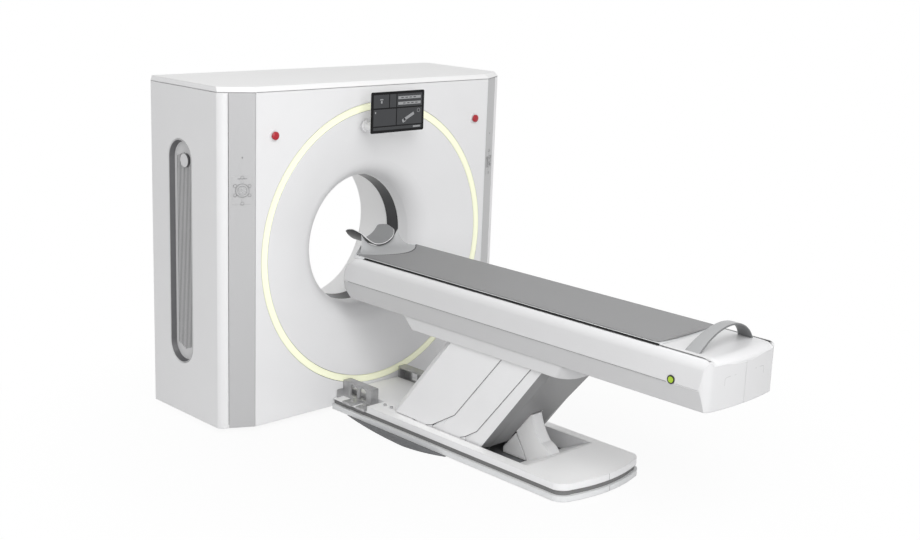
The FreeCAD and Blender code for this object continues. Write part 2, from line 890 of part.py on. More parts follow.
def make_keypad():
    """A membrane keypad: a dial ring of five keys with six keys and a bar round it."""
    field = box_outline("-keypad_half_width", "keypad_half_width", "-keypad_half_height",
                        "keypad_half_height")
    raised = "-(keypad_wall + dial_proud)"
    sheet_pad = slab("keypad_field", "XZ_Plane", [field], "-keypad_wall", "0")
    ring = [("circle", "0", "0", "dial_radius"), ("circle", "0", "0", "dial_radius - dial_band")]
    pieces = [sheet_pad, slab("keypad_ring", "XZ_Plane", ring, raised, "0")]
    places = [("0", "0")]
    for count in range(int(measure("key_count"))):
        turn = f"({count} * 360 / key_count)"
        places.append((f"key_ring_half_width * sin({turn})", f"key_ring_half_height * cos({turn})"))
    for count, (across, up) in enumerate(places):
        pieces.append(rod(f"key_{count}", "Y", (across, raised, up), "keypad_wall + dial_proud",
                          "key_radius"))
    pieces.append(block("key_bar", ("-key_bar_length / 2", "key_bar_length / 2"), (raised, "0"),
                        ("key_bar_height", "key_bar_height + key_radius")))
    pad = fused("keypad", pieces)
    x, y = bevel("((front_half_width + strip_outer_half_width) / 2)")
    drive(pad, x_to=x, y_to=y, z_to="dial_height")
    drive(pad, **{"Placement.Rotation.Angle": f"atan(bevel_depth / bevel_width)"})
    return pad


def make_stop_buttons():
    head = f"({FRONT} - stop_bezel_proud - stop_gap)"
    top = f"({head} - stop_head_depth)"
    outline = [(head, "0"), (f"{head} + stop_stem_length", "0"),
               (f"{head} + stop_stem_length", "stop_stem_radius"), (head, "stop_stem_radius"),
               (head, "stop_head_radius"),
               arc((f"{top} + stop_dome", "stop_head_radius"), (top, "stop_flat"), "stop_dome / 2"),
               (top, "stop_flat"), (top, "0")]
    pair_of_nodes("stop_button", turned("right_stop_button", outline, "stop_offset", "stop_height"))


def make_display():
    glass = f"({FRONT} - display_reach)"
    back = f"({glass} + display_depth)"
    half = "display_half_width"
    outline = mirrored_outline([
        (f"{half} - display_corner", "display_bottom", quarter("display_corner")),
        (half, "display_bottom + display_corner"),
        (half, "display_top - display_corner", quarter("display_corner")),
        (f"{half} - display_corner", "display_top")])
    screen = slab("display_screen", "XZ_Plane", [outline], glass, f"{glass} + screen_depth")
    node(screen, "display_screen")
    rear = mirrored_outline([(f"{half} - 2 * display_corner", "display_bottom + display_corner"),
                             (f"{half} - 2 * display_corner", "display_top - display_corner")])
    shell = lofted("display_shell", "XZ_Plane",
                   [(rear, f"-({back})"), (outline, f"-({glass} + screen_depth)")])
    place = ("bracket_offset", back, "bracket_height")
    arm = rod("bracket_arm", "Y", place, f"{FRONT} - ({back})", "bracket_arm_radius")
    foot = rod("bracket_foot", "Y", ("bracket_offset", f"{FRONT} - bracket_foot_depth", "bracket_height"),
               "bracket_foot_depth", "bracket_radius")
    arms = [arm, foot, mirrored("bracket_arm_left", arm), mirrored("bracket_foot_left", foot)]
    node(fused("display_mount", [shell] + arms), "display_housing")


# ---- inside the gantry -----------------------------------------------------

def make_gantry_frame():
    plate = mirrored_outline([("frame_half_width", "frame_base_wall"),
                              ("frame_half_width", "frame_shoulder_height"),
                              ("frame_top_half_width", "frame_top_height")])
    hole = ("circle", "0", ISO, "bearing_outer_radius")
    start = depth("frame_plate_depth")
    stop = depth("frame_plate_depth + frame_plate_wall")
    ring = slab("frame_plate", "XZ_Plane", [plate, hole], start, stop)
    base = block("frame_base", ("-frame_half_width", "frame_half_width"),
                 ("-frame_base_front", "frame_base_rear"),
                 ("0", "frame_base_wall"))
    gusset = slab("frame_gusset", "YZ_Plane", [[(f"{start} - gusset_reach", "frame_base_wall"),
                                                (start, "frame_base_wall"), (start, "gusset_height")]],
                  "frame_half_width - gusset_wall", "frame_half_width")
    pieces = [ring, base, gusset, mirrored("frame_gusset_left", gusset)]
    node(fused("gantry_frame", pieces), "gantry_frame")


def make_bearing():
    middle = depth("frame_plate_depth + frame_plate_wall / 2")
    start = f"({middle} - bearing_length / 2)"
    place = ("0", start, ISO)
    outer = tube("outer_race", "Y", place, "bearing_length", "bearing_outer_radius",
                 "bearing_split_radius + bearing_gap")
    inner = tube("inner_race", "Y", place, "bearing_length", "bearing_split_radius",
                 "bearing_inner_radius")
    node(outer, "bearing_outer_race")
    node(inner, "bearing_inner_race")


def make_rotor():
    front = depth("rotor_plate_depth")
    back = depth("rotor_plate_depth + rotor_plate_wall")
    race = depth("frame_plate_depth + frame_plate_wall / 2 - bearing_length / 2")
    rim = depth("rotor_plate_depth - rotor_rim_length")
    outline = [(front, "rotor_hub_radius"), (front, "rotor_radius - rotor_rim_wall"),
               (rim, "rotor_radius - rotor_rim_wall"), (rim, "rotor_radius"), (back, "rotor_radius"),
               (back, "bearing_split_radius - bearing_gap"), (race, "bearing_split_radius - bearing_gap"),
               (race, "bearing_inner_radius"), (back, "rotor_hub_radius")]
    node(turned("rotor_drum", outline), "rotor_drum")


def make_slip_ring():
    start = depth("frame_plate_depth + frame_plate_wall / 2 + bearing_length / 2")
    place = ("0", start, ISO)
    ring = tube("slip_ring", "Y", place, "slip_ring_wall", "slip_ring_outer", "slip_ring_inner")
    node(ring, "slip_ring")
    face = f"({start} + slip_ring_wall + brush_gap)"
    mount = depth("frame_plate_depth + frame_plate_wall")
    brush = block("brush_holder", ("-brush_half_width", "brush_half_width"),
                  (face, f"{face} + brush_length"),
                  ("iso_height + slip_ring_inner", "iso_height + bearing_outer_radius + brush_length"))
    arm = block("brush_arm", ("-brush_half_width", "brush_half_width"), (mount, f"{face} + brush_length"),
                ("iso_height + bearing_outer_radius + brush_gap + seam",
                 "iso_height + bearing_outer_radius + brush_length"))
    node(fused("brush_block", [brush, arm]), "brush_block")


def make_xray_tube():
    plate = depth("rotor_plate_depth")
    start = f"({plate} - tube_length)"
    centre = "iso_height + tube_height"
    body = rod("tube_body", "Y", ("0", start, centre), "tube_length", "tube_radius")
    port = block("tube_port", ("-tube_radius / 2", "tube_radius / 2"),
                 ("-collimator_length / 3", "collimator_length / 3"),
                 (f"{centre} - tube_radius - recess_wall", centre))
    flange = rod("tube_flange", "Y", ("0", f"{start} - tube_anode_length", centre), "tube_anode_length",
                 "tube_anode_radius")
    node(fused("xray_tube", [body, port, flange]), "xray_tube")
    top = f"({centre} - tube_radius - recess_wall)"
    shell = block("collimator_shell", ("-collimator_half_width", "collimator_half_width"),
                  ("-collimator_length / 2", "collimator_length / 2"),
                  (f"{top} - collimator_height", top))
    slit = block("collimator_slit", ("-slit_half_width", "slit_half_width"),
                 ("-collimator_length / 8", "collimator_length / 8"), (f"{top} - collimator_height", top))
    bracket = block("collimator_bracket", ("-collimator_half_width", "collimator_half_width"),
                    ("collimator_length / 2", plate), (f"{top} - collimator_height", top))
    node(fused("collimator", [cut("collimator_open", shell, slit), bracket]), "collimator")


def make_detector():
    """An arc of detector modules, centred on the focal spot."""
    focus = "(iso_height + focus_radius)"
    inner_drop = "sqrt(detector_distance^2 - detector_half_width^2)"
    grow = "(detector_distance + detector_wall) / detector_distance"
    near = ("detector_half_width", f"({focus} - {inner_drop})")
    far = (f"detector_half_width * {grow}", f"({focus} - {inner_drop} * {grow})")
    far_left = (f"-{far[0]}", far[1])
    near_left = (f"-{near[0]}", near[1])
    outline = [arc(far_left, far, f"(detector_distance + detector_wall) - {inner_drop} * {grow}"), far,
               arc(near, near_left, f"-(detector_distance - {inner_drop})"), near_left]
    arc_body = slab("detector_modules", "XZ_Plane", [outline], "-detector_length / 2",
                    "detector_length / 2")
    rail = [arc(far_left, far, f"(detector_distance + detector_wall) - {inner_drop} * {grow}"), far]
    rail_body = slab("detector_rail", "XZ_Plane", [rail], "detector_length / 2",
                     depth("rotor_plate_depth"))
    trim = rod("detector_trim", "Y", ("0", "detector_length / 2", ISO), depth("rotor_plate_depth"),
               "rotor_hub_radius + seam")
    node(fused("detector_arc", [arc_body, cut("detector_support", rail_body, trim)]), "detector_arc")


def make_generator():
    plate = depth("rotor_plate_depth")
    body = block("high_voltage_generator", ("-generator_outer", "-generator_inner"),
                 (f"{plate} - generator_length", plate),
                 ("iso_height - generator_half_height", "iso_height + generator_half_height"))
    node(body, "high_voltage_generator")


def make_cooler():
    plate = depth("rotor_plate_depth")
    front = f"({plate} - cooler_length)"
    core = block("cooler_core", ("cooler_inner", "cooler_outer"), (front, plate),
                 ("iso_height - cooler_half_height", "iso_height + cooler_half_height"))
    fins = []
    for count in range(int(measure("cooler_fin_count"))):
        low = f"(iso_height - cooler_half_height + {count} * (2 * cooler_half_height - cooler_fin_wall)"
        low += " / (cooler_fin_count - 1))"
        fins.append(block(f"cooler_fin_{count}", ("cooler_inner", "cooler_outer"),
                          (f"{front} - cooler_fin_depth", front), (low, f"{low} + cooler_fin_wall")))
    node(fused("tube_cooler", [core] + fins), "tube_cooler")


def make_rotor_drive():
    """A motor with its pulley, and the belt round the pulley and the rotor's rim."""
    belt_start = depth("rotor_plate_depth + (rotor_plate_wall - belt_width) / 2")
    pulley_start = depth("rotor_plate_depth + (rotor_plate_wall - pulley_length) / 2")
    x = "-motor_offset"
    pulley = rod("pulley_wheel", "Y", (x, pulley_start, "motor_height"), "pulley_length", "pulley_radius")
    shaft = rod("pulley_shaft", "Y", (x, f"{pulley_start} - pulley_length", "motor_height"),
                "pulley_length", "motor_shaft_radius")
    spokes = []
    for across, up in ((1, 0), (-1, 0), (0, 1), (0, -1)):
        place = (f"{x} + {across} * pulley_hole_place", pulley_start,
                 f"motor_height + {up} * pulley_hole_place")
        spokes.append(rod(f"pulley_hole_{across}_{up}", "Y", place, "pulley_length",
                          "pulley_hole_radius"))
    wheel = cut("pulley_pierced", pulley, fused("pulley_holes", spokes))
    node(fused("drive_pulley", [wheel, shaft]), "drive_pulley")
    motor_start = f"({pulley_start} - pulley_length - motor_length)"
    body = rod("motor_body", "Y", (x, motor_start, "motor_height"), "motor_length - seam", "motor_radius")
    foot = block("motor_foot", (f"{x} - motor_radius", f"{x} + motor_radius"),
                 (f"{motor_start} + motor_radius / 2",
                  f"{motor_start} + motor_length - motor_radius / 2"),
                 ("frame_base_wall", "motor_height"))
    node(fused("drive_motor", [body, foot]), "drive_motor")
    make_belt(belt_start)


def make_belt(start):
    span = "sqrt(motor_offset^2 + (iso_height - motor_height)^2)"
    toward = "atan((iso_height - motor_height) / motor_offset)"
    tilt = f"acos((rotor_radius - pulley_radius) / {span})"
    outlines = []
    rotor = (("0", ISO), "rotor_radius")
    pulley = (("-motor_offset", "motor_height"), "pulley_radius")
    for grow in ("belt_gap", "(belt_gap + belt_wall)"):
        corners = []
        for (centre, radius), sign in ((rotor, "+"), (pulley, "+"), (pulley, "-"), (rotor, "-")):
            turn = f"({toward} {sign} {tilt})"
            corners.append((f"({centre[0]} - ({radius} + {grow}) * cos({turn}))",
                            f"({centre[1]} - ({radius} + {grow}) * sin({turn}))"))
        lower_rotor, lower_pulley, upper_pulley, upper_rotor = corners
        pulley_via = (f"-motor_offset - (pulley_radius + {grow}) * cos({toward})",
                      f"motor_height - (pulley_radius + {grow}) * sin({toward})")
        rotor_via = (f"(rotor_radius + {grow}) * cos({toward})",
                     f"iso_height + (rotor_radius + {grow}) * sin({toward})")
        outlines.append([upper_rotor, (*upper_pulley, *pulley_via), lower_pulley,
                         (*lower_rotor, *rotor_via)])
    node(slab("drive_belt", "XZ_Plane", outlines, start, f"{start} + belt_width"), "drive_belt")


# ---- table base ------------------------------------------------------------

def base_outline(grow):
    """The base in plan, widened all round by grow but flat against the gantry."""
    end_half = f"(base_turn_half_width + ({grow}) * cos(45))"
    return mirrored_outline([(end_half, f"-(base_turn + ({grow}))", "base_corner_bow"),
                             (f"(base_half_width + ({grow}))", "-base_corner"),
                             (f"(base_half_width + ({grow}))", "-base_start")])


def closed_base_outline(grow):
    """The base outline with its bowed foot end."""
    outline = base_outline(grow)
    outline[-1] = arc(outline[-1][:2], outline[0][:2], "base_end_bow")
    return outline


def base_plate():
    """The floor plate, whose sides bulge out from under the base."""
    half = [("base_turn_half_width - plate_tuck", "-base_turn"),
            ("base_half_width - plate_tuck", "-base_corner"),
            ("base_half_width - plate_tuck", "-bulge_end"),
            ("base_half_width + lip_grow", "-bulge_end", "bulge_bow"),
            ("bulge_half_width", "-bulge_middle", "bulge_bow"),
            ("base_half_width", "-bulge_start"),
            ("base_half_width - plate_tuck", "-bulge_start"),
            ("base_half_width - plate_tuck", "-(base_start + plate_tuck)")]
    return slab("table_base_plate", "XY_Plane", [mirrored_outline(half)], "0", "plate_wall")


def ring_slab(name, grow, wall, low, high):
    outer = slab(name + "_solid", "XY_Plane", [closed_base_outline(grow)], low, high)
    inner = slab(name + "_hollow", "XY_Plane", [closed_base_outline(f"({grow}) - ({wall})")], low, high)
    end_wall = block(name + "_end", (f"-(base_half_width + ({grow}))", f"base_half_width + ({grow})"),
                     (f"-(base_start + {wall})", "-base_start"), (low, high))
    return fused(name, [cut(name + "_ring", outer, inner), end_wall])


def make_base_skirts():
    lip_wall = "(skirt_wall + lip_grow + groove_shrink)"
    node(ring_slab("base_lip", "lip_grow", lip_wall, "lip_bottom", "lip_top"), "base_lip")
    node(ring_slab("base_groove_band", "-groove_shrink", "skirt_wall", "lip_top", "deck_bottom"),
         "base_groove_band")


def make_deck():
    """A moulded cover with a pit for the lift and a notch at each anchor."""
    solid = slab("deck_solid", "XY_Plane", [closed_base_outline("0")], "deck_bottom", "deck_top")
    under = ("deck_bottom", "deck_top - deck_wall")
    hollow = slab("deck_hollow", "XY_Plane", [closed_base_outline("-skirt_wall - groove_shrink")], *under)
    hollow_trim = block("deck_hollow_trim", ("-base_half_width", "base_half_width"),
                        ("-base_turn - 2 * base_end_bow", "-notch_end - skirt_wall"), under)
    hollow_middle = block("deck_hollow_middle",
                          ("-notch_half_width + skirt_wall", "notch_half_width - skirt_wall"),
                          ("-notch_end - skirt_wall", "-base_start - skirt_wall"), under)
    rear_hollow = shared("deck_rear_hollow", [hollow, hollow_trim])
    pit = block("deck_pit", ("-pit_half_width", "pit_half_width"), ("-pit_end", "-pit_start"),
                ("deck_bottom", "deck_top"))
    rib = block("pit_rim", ("-pit_half_width - skirt_wall", "pit_half_width + skirt_wall"),
                ("-pit_end - skirt_wall", "-pit_start + skirt_wall"), under)
    notch = block("deck_notch", ("notch_half_width", "base_half_width + seam"),
                  ("-notch_end", "-base_start"),
                  ("deck_bottom + deck_wall", "deck_top"))
    shell = cut("deck_shell", solid,
                cut("deck_hollows", fused("deck_inner", [rear_hollow, hollow_middle]), rib))
    cuts = fused("deck_cuts", [pit, notch, mirrored("deck_notch_left", notch)])
    node(cut("base_deck", shell, cuts), "base_deck")


def pit_slope(back):
    """A point on the inner face of the pit's sloping end, at a distance behind the isocentre."""
    start = "(pit_floor_end - pit_wall)"
    run = f"(pit_end - 2 * pit_wall - {start})"
    rise = f"(deck_top - plate_wall - pit_wall) * ({back} - {start}) / {run}"
    return (f"-({back})", f"(plate_wall + pit_wall + {rise})")


def pit_profile(inset):
    low = f"(plate_wall + {inset})"
    return [(f"-(pit_floor_end - {inset})", low), (f"-(pit_start + {inset})", low),
            (f"-(pit_start + {inset})", "deck_top"), (f"-(pit_end - 2 * ({inset}))", "deck_top")]


def make_pit_liner():
    outer = slab("liner_outer", "YZ_Plane", [pit_profile("0")], "-pit_half_width", "pit_half_width")
    wide = ("-pit_half_width + pit_wall", "pit_half_width - pit_wall")
    inner = slab("liner_inner", "YZ_Plane", [pit_profile("pit_wall")], *wide)
    floor = block("liner_floor_cut", wide, ("-(pit_floor_end - pit_wall)", "-(pit_start + pit_wall)"),
                  ("0", "plate_wall + pit_wall"))
    node(cut("pit_liner", outer, fused("liner_cuts", [inner, floor])), "pit_liner")


def make_anchors():
    """A roofed steel bracket with two windows, two clamp pads and a tab, at each side of the base."""
    floor = "(deck_bottom + deck_wall)"
    body = block("anchor_body", ("anchor_inner", "anchor_outer"), ("-anchor_rear", "-anchor_front"),
                 (floor, "anchor_top"))
    hollow = block("anchor_hollow", ("anchor_inner", "anchor_outer - anchor_wall"),
                   ("-anchor_rear + anchor_wall", "-anchor_front - anchor_wall"),
                   (f"{floor} + anchor_wall", "anchor_top - anchor_wall"))
    windows = []
    for count in range(2):
        near = f"(-(window_first + {count} * window_pitch))"
        far = f"({near} - window_width)"
        outline = [(far, "window_sill"), (near, "window_sill"),
                   arc((near, "window_head"), (far, "window_head"), "window_arch"), (far, "window_head")]
        windows.append(slab(f"anchor_window_{count}", "YZ_Plane", [outline],
                            "anchor_outer - 2 * anchor_wall",
                            "anchor_outer + seam"))
    bracket = cut("anchor_bracket", body, fused("anchor_cuts", [hollow] + windows))
    tab = block("anchor_tab", ("anchor_outer", "anchor_outer + tab_width"),
                ("-anchor_front - tab_wall", "-anchor_front"), (floor, "tab_top"))
    clamp = fused("anchor_clamp", [bracket, tab] + clamp_pads(floor))
    bolts = deck_bolts()
    sides = [clamp, mirrored("anchor_clamp_left", clamp)] + bolts
    sides += [mirrored(bolt.Name + "_left", bolt) for bolt in bolts]
    node(grouped("floor_anchors", sides), "floor_anchors")


def clamp_pads(floor):
    """The two pads of a clamp, each with its bolt head."""
    pieces = []
    for count in range(2):
        near = f"(-(pad_first + {count} * pad_pitch))"
        pieces.append(block(f"anchor_pad_{count}", ("anchor_outer", "pad_outer"),
                            (f"{near} - pad_length", near),
                            (floor, f"{floor} + pad_wall")))
        place = ("(anchor_outer + pad_outer) / 2", f"{near} - pad_length / 2", f"{floor} + pad_wall")
        pieces.append(rod(f"anchor_bolt_{count}", "Z", place, "anchor_bolt_height", "anchor_bolt_radius"))
    return pieces


def deck_bolts():
    bolts = []
    for count in range(2):
        place = ("deck_bolt_offset", f"-(deck_bolt_first + {count} * deck_bolt_pitch)", "deck_top")
        bolts.append(rod(f"deck_bolt_{count}", "Z", place, "anchor_bolt_height", "anchor_bolt_radius"))
    return bolts


def make_base_frame():
    """The floor plate with the deck's rails and the lugs that carry the lower shafts."""
    rail = block("base_rail",
                 ("pit_half_width + skirt_wall + seam",
                  "base_half_width - groove_shrink - skirt_wall - seam"),
                 ("-base_corner + plate_tuck", "-notch_end - skirt_wall - seam"),
                 ("plate_wall", "deck_top - deck_wall"))
    outline = [("-(rear_pivot + lug_half_width)", "plate_wall"),
               ("-(front_pivot - lug_half_width)", "plate_wall"),
               ("-(front_pivot - lug_half_width / 2)", "pivot_height + lug_half_width / 2"),
               ("-(rear_pivot + lug_half_width / 2)", "pivot_height + lug_half_width / 2")]
    holes = [("circle", f"-{pivot}", "pivot_height", "shaft_radius")
             for pivot in ("front_pivot", "middle_pivot", "rear_pivot")]
    lug = slab("base_lug", "YZ_Plane", [outline] + holes, "(shaft_half_length - lug_wall)",
               "shaft_half_length")
    pieces = [base_plate(), rail, lug, mirrored("base_rail_left", rail), mirrored("base_lug_left", lug)]
    node(fused("base_frame", pieces), "base_frame")


def make_shafts():
    lower = []
    upper = []
    for pivot in ("front_pivot", "middle_pivot", "rear_pivot"):
        low = ("-shaft_half_length", f"-{pivot}", "pivot_height")
        high = ("-shaft_half_length", f"-{pivot} - {LINK_SHIFT}", "carriage_pivot_height")
        lower.append(rod(f"lower_{pivot}_shaft", "X", low, "2 * shaft_half_length", "shaft_radius"))
        upper.append(rod(f"upper_{pivot}_shaft", "X", high, "2 * shaft_half_length", "shaft_radius"))
    node(grouped("lower_shafts", lower), "lower_shafts")
    node(grouped("upper_shafts", upper), "upper_shafts")


def make_shroud():
    half = "shroud_half_width"
    foot = "(plate_wall + pit_wall)"
    front = [("-(shroud_seam_foot - shroud_gap)", foot), ("-shroud_front", foot),
             ("-shroud_front", "shroud_front_height"),
             ("-shroud_seam_top", "shroud_seam_height"),
             ("-(shroud_seam_foot - shroud_gap)", "shroud_seam_foot_height")]
    node(slab("arm_shroud_front", "YZ_Plane", [front], f"-{half}", half), "arm_shroud_front")
    tip = round_rear_pivot("shroud_tip_angle")
    waist = round_rear_pivot("shroud_waist_angle")
    heel = pit_slope("shroud_heel")
    back_bow = "shroud_radius * (1 - cos((shroud_waist_angle - shroud_tip_angle) / 2))"
    rear = [arc(tip, waist, f"-{back_bow}"), arc(waist, heel, "shroud_heel_bow"), heel,
            pit_slope("(shroud_seam_foot + shroud_gap)"),
            ("-(shroud_seam_top + shroud_gap)", "shroud_seam_height + shroud_gap"),
            ("-shroud_nose", "shroud_nose_height"), ("-shroud_crown", "shroud_crown_height")]
    node(slab("arm_shroud_rear", "YZ_Plane", [rear], f"-{half}", half), "arm_shroud_rear")


def round_rear_pivot(angle):
    """A point of the shroud's back, an angle behind the upright through the rear pivot."""
    return (f"(-rear_pivot - shroud_radius * sin({angle}))",
            f"(pivot_height + shroud_radius * cos({angle}))")


# ---- lift links and their covers (drawn upright, then leaned) --------------

def link_arm(name, outer, top_clearance):
    """One flat arm with an eye at each end."""
    inner = f"({outer} - arm_wall)"
    outline = [("arm_half_height", "0"),
               arc(("arm_half_height", LINK_LENGTH), ("-arm_half_height", LINK_LENGTH), "eye_radius"),
               ("-arm_half_height", LINK_LENGTH),
               arc(("-arm_half_height", "0"), ("arm_half_height", "0"), "eye_radius")]
    holes = [("circle", "0", "0", "shaft_radius + pivot_clearance"),
             ("circle", "0", LINK_LENGTH, f"shaft_radius + {top_clearance}")]
    return slab(name, "YZ_Plane", [outline] + holes, inner, outer)


def make_link(name, pivot, outer, tube_place, top_clearance, extras):
    arm = link_arm(name + "_arm", outer, top_clearance)
    cross = rod(name + "_tube", "X", (f"-{outer}", "0", tube_place), f"2 * {outer}", "tube_radius_link")
    pieces = [arm, mirrored(name + "_arm_left", arm), cross] + extras
    node(on_link(fused(name, pieces), pivot), name)


def make_links():
    plate = "(front_plate_reach - cover_sheet)"
    strut = block("front_strut", ("front_arm_outer - arm_wall", "front_arm_outer"), ("0", plate),
                  ("front_tube_place - tube_radius_link", "front_tube_place + tube_radius_link"))
    make_link("front_link", "front_pivot", "front_arm_outer", "front_tube_place", "pivot_clearance",
              [strut, mirrored("front_strut_left", strut)])
    wing = block("middle_wing", ("middle_arm_outer - arm_wall", "middle_cover_half - cover_sheet"),
                 ("arm_half_height / 2", "arm_half_height * 2"), ("wing_place", "wing_place + wing_wall"))
    make_link("middle_link", "middle_pivot", "middle_arm_outer", "middle_tube_place", "open_clearance",
              [wing, mirrored("middle_wing_left", wing)])
    heel = block("rear_heel_block", ("rear_arm_outer - arm_wall", "rear_arm_outer"),
                 ("-(rear_face - cover_sheet)", "0"),
                 ("heel_block_place", "heel_block_place + heel_block_length"))
    make_link("rear_link", "rear_pivot", "rear_arm_outer", "rear_tube_place", "open_clearance",
              [heel, mirrored("rear_heel_block_left", heel)])


def leaned(ahead, height):
    """The place on an upright link of a point ahead of and above its lower pivot."""
    return (f"(({ahead}) * cos(lean) + ({height}) * sin(lean))",
            f"(({height}) * cos(lean) - ({ahead}) * sin(lean))")


def foot_of(across):
    """The corner where a line along a link comes down to the covers' lower edge in the pit."""
    return (across, f"((cover_foot - ({across}) * sin(lean)) / cos(lean))")


def ahead_of(across, along):
    """How far a point of an upright link stands ahead of the lower pivot once it leans."""
    return f"(({across}) * cos(lean) - ({along}) * sin(lean))"


def make_front_link_cover():
    """A channel whose lower edge dips into the pit and steps up over the deck."""
    half = "front_cover_half"
    reach = "front_plate_reach"
    chamfer = "front_cover_chamfer"
    over_deck = "(cover_foot + cover_dip + cover_play)"
    pit_edge = "(front_pivot - pit_start - pit_play)"
    profile = [leaned(ahead_of("-front_heel_reach", "front_heel"), "cover_foot"),
               leaned(pit_edge, "cover_foot"),
               leaned(pit_edge, over_deck), leaned(ahead_of(reach, "-front_foot"), over_deck),
               (reach, "-front_foot"), (reach, "front_plate_top"), ("-front_seam", "front_seam_top"),
               ("-front_seam", "front_bend"), ("-front_heel_reach", "front_heel")]
    side = slab("front_cover_side", "YZ_Plane", [profile], f"-{half}", half)
    inner = f"({half} - cover_sheet)"
    turn = "cover_sheet * tan(45 / 2)"
    section = mirrored_outline([(f"{half}", "-front_seam - seam"), (half, f"{reach} - {chamfer}"),
                                (f"{half} - {chamfer}", reach)])
    hollow = mirrored_outline([(inner, "-front_seam - seam"), (inner, f"{reach} - {chamfer} - {turn}"),
                               (f"{inner} - {chamfer} + {turn}", f"{reach} - cover_sheet")])
    outer = slab("front_cover_outer", "XY_Plane", [section], "-2 * front_foot", "2 * front_seam_top")
    core = slab("front_cover_core", "XY_Plane", [hollow], "-2 * front_foot", "2 * front_seam_top")
    shell = cut("front_cover_shell", shared("front_cover_form", [side, outer]), core)
    node(on_link(shell, "front_pivot"), "front_link_cover")


def make_middle_panels():
    heel = leaned(ahead_of("-middle_heel_reach", "middle_heel"), "cover_foot")
    toe = leaned(ahead_of("middle_front", "middle_front_foot"), "cover_foot")
    profile = [("-middle_heel_reach", "middle_heel"), heel, toe, ("middle_front", "middle_front_foot"),
               ("middle_front", "middle_front_top"), ("-middle_seam", "middle_seam_top"),
               ("-middle_seam", "middle_bend")]
    panel = slab("middle_panel", "YZ_Plane", [profile], "middle_cover_half - cover_sheet",
                 "middle_cover_half")
    node(both_sides("middle_panels", on_link(panel, "middle_pivot")), "middle_panels")


def rear_section(inset, seam_place, face_half):
    """The rear cover across its link: a face with a chamfer at each side."""
    half = f"(rear_cover_half - ({inset}))"
    return mirrored_outline([(f"{face_half} - ({inset})", f"-(rear_face - ({inset}))"),
                             (half, f"-({seam_place} - ({inset}))"), (half, "rear_front + seam")])


def rear_channel(name, inset):
    """The rear cover's channel, whose chamfers widen toward the floor."""
    low = rear_section(inset, "rear_seam_foot", "rear_face_half_foot")
    high = rear_section(inset, "rear_seam", "rear_face_half")
    return lofted(name, "XY_Plane", [(low, "-2 * rear_front"), (high, "rear_face_top")])


def make_rear_link_cover():
    half = "rear_cover_half"
    profile = [foot_of("-rear_face"), foot_of("rear_front"), ("rear_front", "rear_front_top"),
               ("-rear_face", "rear_face_top")]
    side = slab("rear_cover_side", "YZ_Plane", [profile], f"-{half}", half)
    outer = rear_channel("rear_cover_outer", "0")
    core = rear_channel("rear_cover_core", "cover_sheet")
    slot = block("rear_cover_slot", ("-arm_slot_half", "arm_slot_half"), ("-rear_face - seam", "0"),
                 ("0", "arm_slot_top"))
    shell = cut("rear_cover_shell", shared("rear_cover_form", [side, outer]), core)
    node(on_link(cut("rear_cover_slotted", shell, slot), "rear_pivot"), "rear_link_cover")


# ---- carriage and table housing --------------------------------------------

def carriage_outline(inset, front, rear):
    """The carriage in plan, with rounded corners at its foot end."""
    half = f"(carriage_half_width - ({inset}))"
    turn = f"(carriage_corner - ({inset}))"
    end = f"-({rear} - ({inset}))"
    return mirrored_outline([(f"{half} - {turn}", end, quarter(turn)), (half, f"{end} + {turn}"),
                             (half, f"-({front})")])


def make_carriage_cover():
    outer = lofted("carriage_outer", "XY_Plane", [
        (carriage_outline("0", "carriage_front_foot", "carriage_rear_foot"), "carriage_bottom"),
        (carriage_outline("0", "carriage_front", "carriage_rear"), "housing_bottom")])
    wall = "carriage_wall"
    inner = lofted("carriage_inner", "XY_Plane", [
        (carriage_outline(wall, "(carriage_front_foot - carriage_wall)", "carriage_rear_foot"),
         "carriage_bottom"),
        (carriage_outline(wall, "(carriage_front - carriage_wall)", "carriage_rear"), "housing_bottom")])
    node(cut("carriage_cover", outer, inner), "carriage_cover")


def make_carriage_frame():
    inner = "(shaft_half_length - lug_wall)"
    low = "(carriage_pivot_height - shaft_radius - lug_wall)"
    holes = [("circle", f"-{pivot} - {LINK_SHIFT}", "carriage_pivot_height", "shaft_radius")
             for pivot in ("front_pivot", "middle_pivot", "rear_pivot")]
    outline = [("-lug_end", f"{low} + 3 * lug_wall / 2"), ("-(lug_end - 3 * lug_wall / 2)", low),
               ("-lug_start", low), ("-lug_start", "lug_top"), ("-lug_end", "lug_top")]
    lug = slab("carriage_lug", "YZ_Plane", [outline] + holes, inner, "shaft_half_length")
    plate = block("carriage_plate", ("-table_frame_half_width", "table_frame_half_width"),
                  ("-table_frame_end", "-table_frame_start"), ("lug_top", "lug_top + frame_top_wall"))
    top = "(lug_top + frame_top_wall)"
    rail = block("slide_rail", ("rail_offset - rail_width / 2", "rail_offset + rail_width / 2"),
                 ("-table_frame_end + shoe_wall", "-table_frame_start - shoe_wall"),
                 (top, f"{top} + rail_height"))
    pieces = [lug, mirrored("carriage_lug_left", lug), plate, rail, mirrored("slide_rail_left", rail)]
    node(fused("carriage_frame", pieces), "carriage_frame")


def housing_section(inset, top):
    """The housing across the table: slanted belly, crease, side and rolled shoulder."""
    return mirrored_outline([
        (f"housing_bottom_half - ({inset})", f"housing_bottom + ({inset})"),
        (f"crease_half - ({inset}) - crease_notch", "crease_height - 2 * crease_notch"),
        (f"crease_half - ({inset}) - 2 * crease_notch", "crease_height"),
        (f"crease_half - ({inset})", "crease_height + crease_notch"),
        (f"shoulder_half - ({inset})", "shoulder_height", "shoulder_bow"),
        (f"slot_half - ({inset})", top)])


